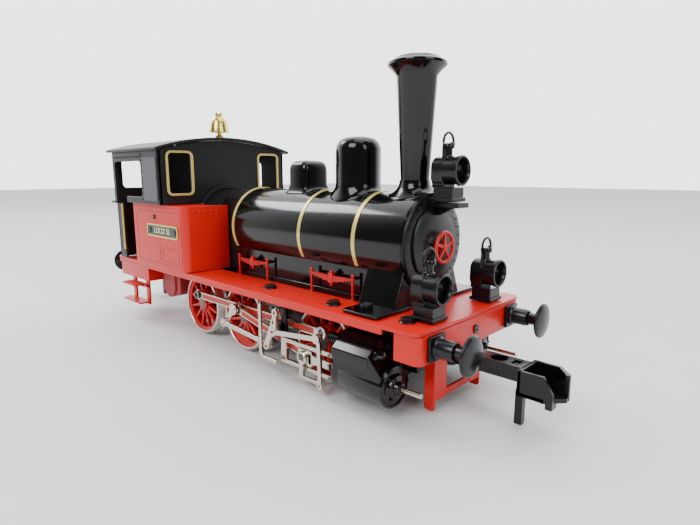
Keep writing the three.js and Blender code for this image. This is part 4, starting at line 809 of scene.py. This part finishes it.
def side_tank(hand, side):
    node = f"side_tank_{hand}"
    rear, front = TANK_X
    outer = side * TANK_OUTER
    base = DECK_TOP + 0.3
    corner = (front - TANK_CORNER, side * (TANK_OUTER - TANK_CORNER))
    bend = TANK_CORNER - TANK_SHEET
    arc = sweep(*corner, TANK_CORNER, side * TANK_CORNER, 90, -1, -10)
    thin = sweep(*corner, bend, side * bend, 90, -1, -10)
    mesh = fresh()
    edge = side * TANK_SHOULDER
    outline = [(rear, edge), (rear, outer), *arc, (front, edge), (front - TANK_SHEET, edge), *thin[::-1],
               (rear + TANK_SHEET, side * (TANK_OUTER - TANK_SHEET)), (rear + TANK_SHEET, edge)]
    prism(mesh, outline, "z", base, TANK_TOP)
    low_front = [(rear, side * TANK_INNER), (rear, edge), (rear + TANK_SHEET, edge),
        (rear + TANK_SHEET, side * TANK_INNER)]
    prism(mesh, low_front, "z", base, TANK_TOP)
    piece(f"tank_wrapper_{hand}", mesh, RED, node, 0.3, 3)
    mesh = fresh()
    cover = [(rear + 0.2, side * 19.8), (rear + 0.2, side * (TANK_OUTER - 0.5)), *thin,
        (front - 0.4, side * 19.8)]
    prism(mesh, cover, "z", TANK_TOP - 1.4, TANK_TOP - 0.05)
    box(mesh, rear + 0.2, -46.2, side * 11.8, side * 19.9, TANK_TOP - 1.4, TANK_TOP - 0.05)
    piece(f"tank_top_{hand}", mesh, RED, node, 0.2)
    plate = [(side * 11.9, base), (side * 11.9, TANK_TOP - 0.1), (side * 19.9, TANK_TOP),
        (side * 19.9, base)]
    sheet(f"tank_front_{hand}", RED, node, plate, "x", front - 1.2, front, bevel=0.15)
    places = [(y * side, TANK_TOP - 2.6, front) for y in (19, 22.4, 25.8, 29.2, 32.6)]
    rivets(f"tank_rivets_{hand}", node, RED, places, "x", 1, 0.55, 0.3)
    places = [(x, TANK_TOP - 1.6, outer) for x in range(-85, -32, 4)]
    rivets(f"tank_side_rivets_{hand}", node, RED, places, "y", side, 0.5, 0.25)
    mesh = fresh()
    lining(mesh, -82.6, -31.6, 39.4, 68.4, 4, outer, side, 0.32)
    lining(mesh, -53, -34.6, 41.2, 48.8, 1, outer, side, 0.26)
    box(mesh, -56.2, -55.9, outer - side * 0.2, outer + side * 0.1, 41, 50.5)
    piece(f"tank_lining_{hand}", mesh, LINING, node, 0)
    slotted_screw(f"tank_screw_{hand}", node, PLASTIC, "y", -60.6, 65.2, outer - side * 0.1, side * 0.75,
        1.35)
    name_plate(hand, side, node, outer)


def lining(mesh, x0, x1, z0, z1, r, face, side, wide):
    a, b = sorted((face - side * 0.15, face + side * 0.07))
    prism(mesh, rounded(x0, x1, z0, z1, r, 8), "y", a, b,
          [rounded(x0 + wide, x1 - wide, z0 + wide, z1 - wide, r - wide, 8)])


def name_plate(hand, side, node, outer):
    x0, x1, z0, z1 = -69.4, -34.6, 54.3, 61.3
    sheet(f"plate_rim_{hand}", BRASS, node, rounded(x0, x1, z0, z1, 1.6), "y",
        *sorted((outer - side * 0.2, outer + side * 0.62)), holes=[rounded(x0 + 0.8, x1 - 0.8, z0 + 0.8,
        z1 - 0.8, 0.9)], bevel=0.15)
    sheet(f"plate_field_{hand}", PLATE_GREEN, node, rounded(x0 + 0.7, x1 - 0.7, z0 + 0.7, z1 - 0.7, 1),
        "y", *sorted((outer - side * 0.2, outer + side * 0.3)), bevel=0.1)
    for index, x in enumerate((x0 + 3.2, x1 - 3.2)):
        slotted_screw(f"plate_screw_{index}_{hand}", node, PLASTIC, "y", x, (z0 + z1) / 2,
            outer + side * 0.2,
                      side * 0.6, 1.5)
    text = bpy.data.curves.new(f"plate_text_{hand}", "FONT")
    text.body = "LOCO 35"
    text.size = 4.4 * MM
    text.extrude = 0.15 * MM
    text.align_x, text.align_y = "CENTER", "CENTER"
    holder = bpy.data.objects.new("plate_text_curve", text)
    bpy.context.scene.collection.objects.link(holder)
    bpy.context.view_layer.update()
    data = bpy.data.meshes.new_from_object(holder.evaluated_get(bpy.context.evaluated_depsgraph_get()))
    bpy.data.objects.remove(holder)
    mesh = fresh()
    mesh.from_mesh(data)
    turn = Matrix.Rotation(math.pi if side > 0 else 0, 4, "Z") @ Matrix.Rotation(math.pi / 2, 4, "X")
    mesh.transform(Matrix.Scale(1 / MM, 4))
    mesh.transform(Matrix.Translation(((x0 + x1) / 2, outer + side * 0.42, (z0 + z1) / 2)) @ turn)
    piece(f"plate_letters_{hand}", mesh, CREAM, node, 0)


# ---------------------------------------------------------------- cylinders and motion work

CYLINDER_Z = 13
CYLINDER_Y = 30.6
CYLINDER_X = (79, 103.4)
LINK_FOOT = 10.5
LINK_HORN = 8
LEVER_LENGTH = 20
MID_STROKE_X = 57
SLIDE_PLANE = (32.2, 33.7)
LINK_PLANE = (36, 37.2)
RADIUS_PLANE = (37.5, 38.6)


def cylinder(hand, side):
    node = f"cylinder_{hand}"
    rear, front = CYLINDER_X
    y = side * CYLINDER_Y
    mesh = fresh()
    section = [(side * 22.3, 9), (side * 24, 7), *[(side * (30.6 + 7.9 * math.cos(t)),
        CYLINDER_Z + 7.9 * math.sin(t))
               for t in [math.radians(-130 + i * 10) for i in range(15)]],
               (side * 37.4, 17.8), (side * 38.2, 20.5), (side * 38.2, 23.8), (side * 31,
                   29.5), (side * 22.3, 29.5)]
    pocket = [(side * 29.2, 10.9), (side * 34.2, 10.9), (side * 34.2, 15.1), (side * 29.2, 15.1)]
    prism(mesh, section, "x", rear, 97.4, [pocket])
    box(mesh, rear + 3.3, 97.3, side * 29, side * 34.4, 10.7, 15.3)
    piece(f"valve_chest_{hand}", mesh, GLOSS, node, 0.45, 3)
    mesh = fresh()
    lathe(mesh, [(0, rear + 3.4), (7.8, rear + 3.4), (7.9, rear + 3.6), (7.9, front - 0.4),
        (8.1, front - 0.2), (8.1, front + 0.6),
                 (7.7, front + 1), (6.9, front + 1.1), (6.7, front + 0.7), (5.1, front + 0.7), (4.6,
                     front + 1.2),
                 (4.4, front + 2), (2.6, front + 2.3), (2.3, front + 3.6), (1.6, front + 4), (1.2,
                     front + 4),
                 (1.2, front + 1), (0, front + 1)], "x", y, CYLINDER_Z, 64)
    box(mesh, 96, front - 0.6, y - side * 6, y + side * 6.6, CYLINDER_Z, 19.6)
    piece(f"cylinder_barrel_{hand}", mesh, GLOSS, node, 0, sharp=32)
    slope = [(96.4, 13), (front, 13), (front, 18.4), (97.4, 24.4), (96.4, 24.4)]
    sheet(f"steam_passage_{hand}", GLOSS, node, slope, "y", *sorted((side * 25, side * 37.9)), bevel=0.5,
        segments=3)
    places = [(u, v, front + 0.9) for u, v in circle(y, CYLINDER_Z, 7.25, 10)]
    rivets(f"cylinder_bolts_{hand}", node, GLOSS, places, "x", 1, 0.5, 0.6)
    turned(f"valve_cover_{hand}", GLOSS, node, [(0, 95), (3.2, 95), (3.2, 98.6), (2.9, 99), (1.6, 99.2),
        (1.4, 99.8), (0, 100)], "x", side * 32.6, 23.2, count=30, sharp=35)
    ribs = [(0, 79.5)]
    for i in range(5):
        ribs += [(1.7, 79.2 - i * 1.2), (2.3, 79 - i * 1.2), (2.3, 78.4 - i * 1.2), (1.7, 78.2 - i * 1.2)]
    ribs += [(1.2, 73.4), (0, 73.4)]
    turned(f"spindle_guide_{hand}", PLASTIC, node, ribs, "x", side * 33, 25.4, count=24, sharp=35)
    slab(f"cylinder_saddle_{hand}", PLASTIC, node, 86, 97, side * 17.4, side * 23, 18, 29, bevel=0.3)


def joint_point(name):
    place = pivot(name)
    return place.x, place.z


CRANK = {hand: joint_point(f"coupling_rod_{hand}_turn") for hand in SIDES}
AXLE = {which: joint_point(f"wheelset_{which}_spin") for which in ("rear", "middle", "front")}
PIN_R = 1.3


def crank_on(which, hand):
    dx, dz = CRANK[hand][0] - AXLE["middle"][0], CRANK[hand][1] - AXLE["middle"][1]
    return AXLE[which][0] + dx, AXLE[which][1] + dz


def bar(name, node, a, b, half, ra, rb, y0, y1, holes=(), look=None, flute=None):
    rings = [circle(x, z, r, 20) for x, z, r in holes]
    if flute:
        rings.append(flute_outline(a, b, *flute))
    sheet(name, look or NICKEL, node, bone(a, b, half, ra, rb), "y", *sorted((y0, y1)), holes=rings,
        bevel=0.16)
    if flute:
        side = 1 if y1 > 0 else -1
        sheet(f"{name}_flute", FLUTE, node, flute_outline(a, b, flute[0] - 0.15, flute[1] - 0.15,
            flute[2] + 0.03), "y", *sorted((y0 + side * 0.1, y1 - side * 0.35)), bevel=0.1)


def flute_outline(a, b, trim_a, trim_b, half):
    a, b = Vector(a), Vector(b)
    along = (b - a).normalized()
    across = Vector((-along.y, along.x)) * half
    p, q = a + along * trim_a, b - along * trim_b
    return [tuple(p - across), tuple(q - across), tuple(q + across), tuple(p + across)]


def rods(hand, side):
    y0, y1 = side * 27.6, side * 29.4
    node = f"coupling_rod_{hand}"
    rear, middle, front = (crank_on(which, hand) for which in ("rear", "middle", "front"))
    hole = PIN_R + 0.25
    bar(f"coupling_rod_back_{hand}", node, rear, middle, 1.9, 2.8, 2.9, y0, y1,
        [(*rear, hole), (*middle, hole)], flute=(4.4, 4.6, 1.15))
    bar(f"coupling_rod_ahead_{hand}", node, middle, front, 1.9, 2.9, 2.8, y0, y1,
        [(*middle, hole), (*front, hole)], flute=(4.6, 4.4, 1.15))
    small = (pivot_of_crosshead(hand), CYLINDER_Z)
    y0, y1 = side * 30, side * 31.8
    bar(f"connecting_rod_bar_{hand}", f"connecting_rod_{hand}", CRANK[hand], small, 1.75, 3.1, 2.4, y0, y1,
        [(*CRANK[hand], hole), (*small, PIN_R + 0.3)], flute=(5, 5, 1.05))
    eccentric = joint_point(f"eccentric_rod_{hand}_turn")
    y0, y1 = side * 32.4, side * 33.7
    bar(f"return_crank_arm_{hand}", f"return_crank_{hand}", CRANK[hand], eccentric, 1.5, 2.9, 2, y0, y1)
    mesh = fresh()
    rod(mesh, "y", *eccentric, y1 - side * 0.4, side * 35.8, 1.1, 20)
    rod(mesh, "y", *CRANK[hand], y1 - side * 0.4, y1 + side * 0.35, 1.7, 20)
    piece(f"return_crank_pins_{hand}", mesh, NICKEL, f"return_crank_{hand}", 0)
    foot = link_point(hand, LINK_FOOT)
    y0, y1 = side * 34, side * 35.5
    bar(f"eccentric_rod_bar_{hand}", f"eccentric_rod_{hand}", eccentric, foot, 1.15, 2.2, 1.6, y0, y1,
        [(*eccentric, 1.3), (*foot, 0.8)])


def link_tilt(hand):
    end_x = span(f"eccentric_rod_{hand}")[1].x - 1.6
    pivot_x = joint_point(f"expansion_link_{hand}_rock")[0]
    return math.asin((pivot_x - end_x) / LINK_FOOT)


def link_point(hand, distance):
    x, z = joint_point(f"expansion_link_{hand}_rock")
    tilt = link_tilt(hand)
    return x - distance * math.sin(tilt), z - distance * math.cos(tilt)


def pivot_of_crosshead(hand):
    return span(f"connecting_rod_{hand}")[1].x - 2.4


def valve_gear(hand, side):
    node = f"expansion_link_{hand}"
    foot, horn = link_point(hand, LINK_FOOT), link_point(hand, -LINK_HORN)
    y0, y1 = (side * y for y in LINK_PLANE)
    slot = bone(link_point(hand, -2.6), link_point(hand, -7), 0.72, 0.75, 0.75, 8)
    sheet(f"link_plate_{hand}", NICKEL, node, bone(foot, horn, 1.55, 1.6, 2.2), "y", *sorted((y0, y1)),
        holes=[slot, circle(*joint_point(f"expansion_link_{hand}_rock"), 1.2, 18),
        circle(*foot, 0.7, 14)], bevel=0.15)
    pin_x, pin_z = joint_point(f"radius_rod_{hand}_lift")
    link_x, link_z = joint_point(f"expansion_link_{hand}_rock")
    y0, y1 = (side * y for y in RADIUS_PLANE)
    rear = (link_x + 2, link_z - 1.2)
    node = f"radius_rod_{hand}"
    bar(f"radius_bar_{hand}", node, rear, (pin_x, pin_z), 1.05, 2, 2, y0, y1, [(*rear, 0.7)])
    eye = (link_x + 4, link_z + 7.6)
    bar(f"lifting_eye_{hand}", node, (link_x + 4, link_z + 0.2), eye, 0.75, 0.8, 1.7, y0, y1, [(*eye, 0.8)])
    mesh = fresh()
    rod(mesh, "y", pin_x, pin_z, y0 + side * 0.2, y1 + side * 0.02, 1.3, 20)
    piece(f"radius_pin_{hand}", mesh, STEEL, node, 0)
    node = f"combination_lever_{hand}"
    offset = span(f"crosshead_{hand}")[0].x + 3.5 - MID_STROKE_X
    foot_x, foot_z = pin_x + offset, pin_z - math.sqrt(LEVER_LENGTH ** 2 - offset ** 2)
    bar(f"lever_bar_{hand}", node, (pin_x, pin_z), (foot_x, foot_z), 0.95, 1.8, 1.5, side * 36, side * 37.2,
        [(foot_x, foot_z, 0.6)])


def crosshead(hand, side):
    node = f"crosshead_{hand}"
    x = span(node)[0].x + 3.5
    inner, outer = (side * y for y in SLIDE_PLANE)
    mesh = fresh()
    prism(mesh, rounded(x - 3.5, x + 5, CYLINDER_Z - 3.5, CYLINDER_Z + 3.5, 0.8), "y",
        *sorted((inner, outer)))
    prism(mesh, [(x + 3, CYLINDER_Z - 2.6), (x + 9, CYLINDER_Z - 1.6), (x + 17.2, CYLINDER_Z - 1.6),
                 (x + 17.2, CYLINDER_Z + 1.6), (x + 9, CYLINDER_Z + 1.6), (x + 3, CYLINDER_Z + 2.6)],
          "y", *sorted((inner, outer)))
    box(mesh, x + 15.6, x + 17.2, side * 29.7, outer, CYLINDER_Z - 1.6, CYLINDER_Z + 1.6)
    piece(f"crosshead_body_{hand}", mesh, NICKEL, node, 0.25)
    turned(f"crosshead_hub_{hand}", NICKEL, node, [(1.7, side * 33.2), (2.8, side * 33.2),
        (2.8, side * 34.8), (2.5, side * 35.1), (1.9, side * 35.1), (1.7, side * 34.8),
        (1.7, side * 33.2)], "y", x, CYLINDER_Z, count=36, sharp=35)
    turned(f"crosshead_pin_{hand}", DARK_STEEL, node, [(0, side * 33.2), (1.75, side * 33.2),
        (1.75, side * 34.5), (1.2, side * 34.7), (0.9, side * 34.3), (0, side * 34.3)], "y", x,
        CYLINDER_Z, count=30, sharp=35)
    mesh = fresh()
    y0, y1 = sorted((side * 34, side * 35.2))
    prism(mesh, [(x - 1.4, 3.6), (x + 1.4, 3.6), (x + 1.1, CYLINDER_Z - 1), (x - 1.1, CYLINDER_Z - 1)],
        "y", y0, y1)
    prism(mesh, bone((x, 4.8), (x + 13.4, 4.8), 0.8, 1.2, 1.1, 10), "y", y0 + 0.06, y1 - 0.06)
    piece(f"union_link_{hand}", mesh, NICKEL, node, 0.15)
    mesh = fresh()
    rod(mesh, "x", side * CYLINDER_Y, CYLINDER_Z, x + 16, x + 58.3, 0.95, 20, 0.3)
    piece(f"piston_rod_{hand}", mesh, NICKEL, node, 0)


def motion_bracket(hand, side):
    node = f"motion_bracket_{hand}"
    inner = sorted(side * y for y in SLIDE_PLANE)
    outer = sorted(side * y for y in LINK_PLANE)
    mesh = fresh()
    for z in (7.3, 16.9):
        box(mesh, 43, 78.7, *inner, z, z + 1.8)
    plate = [(42.95, 7.25), (46.5, 7.25), (46.5, 18.75), (42.95, 18.75)]
    prism(mesh, plate, "y", inner[0] - 0.06, inner[1] + 0.06)
    piece(f"slide_bars_{hand}", mesh, NICKEL, node, 0.22)
    mesh = fresh()
    plate = [(43, 18.5), (46.5, 18.5), (46.5, 33.4), (38, 33.4), (38, 31.9), (43, 30)]
    prism(mesh, plate, "y", *inner)
    prism(mesh, rounded(38, 46.5, 20.5, 25.5, 1.2), "y", *inner)
    box(mesh, 36, 46.5, side * 29, side * 35.5, 34.2, 35.7)
    box(mesh, 43, 46.5, *inner, 33, 35)
    box(mesh, 33, 46.5, side * 32.2, side * 35.5, 31.9, 33.5)
    piece(f"bracket_top_{hand}", mesh, PLASTIC, node, 0.3)
    mesh = fresh()
    box(mesh, 31.4, 33.2, side * 32.2, side * 37.2, 31.9, 33.5)
    web = [(31.4, 33.5), (31.4, 9), (33, 7), (43.5, 7), (43.5, 8.6), (34.4, 8.6), (33.2, 10), (33.2, 33.5)]
    prism(mesh, web, "y", *outer)
    piece(f"bracket_c_plate_{hand}", mesh, NICKEL, node, 0.3, 3)
    mesh = fresh()
    rod(mesh, "y", 41, 23, side * 33.4, side * 37.3, 1, 18)
    piece(f"link_trunnion_{hand}", mesh, STEEL, node, 0)


# ---------------------------------------------------------------- wheels

def wheel(which, hand, side):
    node = f"wheel_{which}_{hand}"
    x, z = AXLE[which]
    crank = crank_on(which, hand)
    facing = math.degrees(math.atan2(crank[1] - z, crank[0] - x))

    def at(r, degrees):
        a = math.radians(facing + degrees)
        return x + r * math.cos(a), z + r * math.sin(a)

    profile = [(15.3, 21), (15.3, 20), (17.2, 20), (17.65, 20.3), (17.65, 20.8), (17.2, 21.3),
        (16.75, 21.6),
               (16.5, 22.1), (16.35, 26), (16.15, 26.3), (15.3, 26.4), (15.1, 26.2), (15.1, 21), (15.3, 21)]
    turned(f"tyre_{which}_{hand}", STEEL, node, [(r, side * w) for r, w in profile], "y", x, z, count=96,
        sharp=40)
    profile = [(13.4, 21.2), (15.2, 20.8), (15.2, 26), (14.9, 26.1), (14.7, 25.7), (13.9, 25.6),
        (13.4, 25.2),
               (13.4, 21.2)]
    turned(f"wheel_rim_{which}_{hand}", WHEEL_RED, node, [(r, side * w) for r, w in profile], "y", x, z,
        count=96, sharp=50)
    mesh = fresh()
    for spoke in range(12):
        angle = spoke * 30
        a = math.radians(facing + angle)
        along, across = Vector((math.cos(a), math.sin(a))), Vector((-math.sin(a), math.cos(a)))
        centre = Vector((x, z))
        outline = [centre + along * 2.5 + across * 0.95, centre + along * 13.9 + across * 0.62,
                   centre + along * 13.9 - across * 0.62, centre + along * 2.5 - across * 0.95]
        prism(mesh, [tuple(p) for p in outline], "y", *sorted((side * 22.9, side * 25.1)))
    piece(f"spokes_{which}_{hand}", mesh, WHEEL_RED, node, 0.4, 3)
    mesh = fresh()
    lathe(mesh, [(2.5, side * 20.3), (4, side * 20.3), (4, side * 25.6), (3.6, side * 26.1),
        (2.5, side * 26.1)],
          "y", x, z, 48)
    lathe(mesh, [(0, side * 22.6), (2.9, side * 22.6), (2.9, side * 26.4), (2.6, side * 26.7),
        (0, side * 26.7)],
          "y", *crank, 40)
    prism(mesh, bone((x, z), crank, 2.1, 3.7, 2.7, 14), "y", *sorted((side * 22.8, side * 25.7)))
    if which == "middle":
        weight = [at(14, 180 - 47 + i * 94 / 16) for i in range(17)]
        prism(mesh, weight, "y", *sorted((side * 22.6, side * 25.7)))
    piece(f"hub_{which}_{hand}", mesh, WHEEL_RED, node, 0.3)
    turned(f"axle_end_{which}_{hand}", DARK_STEEL, node, [(0, side * 24.2), (2.45, side * 24.2),
        (2.45, side * 26.2), (1.2, side * 26.35), (0, side * 26.2)], "y", x, z, count=36, sharp=40)
    mesh = fresh()
    tip = {"middle": 33, "rear": 30.6, "front": 29.5}[which]
    rod(mesh, "y", *crank, side * 26, side * tip, PIN_R, 24, 0.2)
    if which == "rear":
        rod(mesh, "y", *crank, side * 29.75, side * 30.6, 2.3, 28, 0.3)
    piece(f"crank_pin_{which}_{hand}", mesh, DARK_STEEL, node, 0)


def inner_works():
    """The hidden drive keeps its plain frame shape under surfaces of its own."""
    for node, look in (("chassis_frame", PLASTIC), ("motor", DARK_STEEL), ("worm_shaft", BRASS),
                       ("axle_rear", DARK_STEEL), ("axle_middle", DARK_STEEL), ("axle_front", DARK_STEEL)):
        data = frame["nodes"][node].data
        data.materials.clear()
        data.materials.append(look)


# ---------------------------------------------------------------- put together

running_board()
buffer_beams()
guard_irons()
buffers()
couplers()
boiler()
smokebox_front()
handwheel()
chimney()
domes()
for lamp in ("lantern_top", "lantern_right", "lantern_left"):
    lantern(lamp)
cab()
cab_roof()
bell()
for hand, side in SIDES.items():
    side_tank(hand, side)
    cylinder(hand, side)
    rods(hand, side)
    valve_gear(hand, side)
    crosshead(hand, side)
    motion_bracket(hand, side)
    for which in AXLE:
        wheel(which, hand, side)
inner_works()


# ---------------------------------------------------------------- studio

def studio():
    mesh = fresh()
    box(mesh, -3000, 2600, -2600, 3000, -8, 0)
    mesh.transform(Matrix.Scale(MM, 4))
    data = bpy.data.meshes.new("studio_floor")
    mesh.to_mesh(data)
    mesh.free()
    floor = bpy.data.objects.new("studio_floor", data)
    bpy.context.scene.collection.objects.link(floor)
    data.materials.append(shader("pale_floor", (0.72, 0.72, 0.73), 0.62, speckle=0.015, bump=0.01,
        grain=60))
    world = bpy.data.worlds.new("studio_world")
    bpy.context.scene.world = world
    world.use_nodes = True
    nodes, links = world.node_tree.nodes, world.node_tree.links
    background = nodes["Background"]
    heading = nodes.new("ShaderNodeTexCoord")
    along = nodes.new("ShaderNodeVectorMath")
    along.operation = "DOT_PRODUCT"
    along.inputs[1].default_value = (-0.69, 0.72, 0)
    links.new(heading.outputs["Generated"], along.inputs[0])
    glow = nodes.new("ShaderNodeMapRange")
    glow.interpolation_type = "SMOOTHSTEP"
    glow.inputs["From Min"].default_value = -0.1
    glow.inputs["From Max"].default_value = 0.55
    glow.inputs["To Min"].default_value = 0.14
    glow.inputs["To Max"].default_value = 3.2
    links.new(along.outputs["Value"], glow.inputs["Value"])
    links.new(glow.outputs["Result"], background.inputs["Strength"])
    background.inputs["Color"].default_value = (0.97, 0.98, 1.0, 1)
    for name, place, power, size in (
            ("window_light", (0.15, -1.0, 0.85), 12, 0.65),
            ("flank_light", (-0.85, -0.25, 0.85), 6, 0.35),
            ("top_light", (0.25, 0.1, 1.1), 7, 0.9),
            ("front_fill", (1.1, -0.1, 0.6), 5, 0.6)):
        lamp = bpy.data.lights.new(name, "AREA")
        lamp.energy = power
        lamp.size = size
        holder = bpy.data.objects.new(name, lamp)
        bpy.context.scene.collection.objects.link(holder)
        holder.location = place
        holder.rotation_mode = "QUATERNION"
        holder.rotation_quaternion = (Vector(place) - Vector((0, 0, 0.05))).to_track_quat("Z", "Y")


def camera():
    yaw, pitch = math.radians(43.52), math.radians(10.13)
    eye = bpy.data.cameras.new("camera")
    eye.sensor_width = 36
    eye.lens = 25.71
    eye.clip_start, eye.clip_end = 0.01, 20
    holder = bpy.data.objects.new("camera", eye)
    bpy.context.scene.collection.objects.link(holder)
    holder.location = Vector((209.46, -164.99, 89.06)) * MM
    back = Vector((math.sin(yaw) * math.cos(pitch), -math.cos(yaw) * math.cos(pitch), math.sin(pitch)))
    holder.rotation_mode = "QUATERNION"
    holder.rotation_quaternion = back.to_track_quat("Z", "Y")
    bpy.context.scene.camera = holder


studio()
camera()
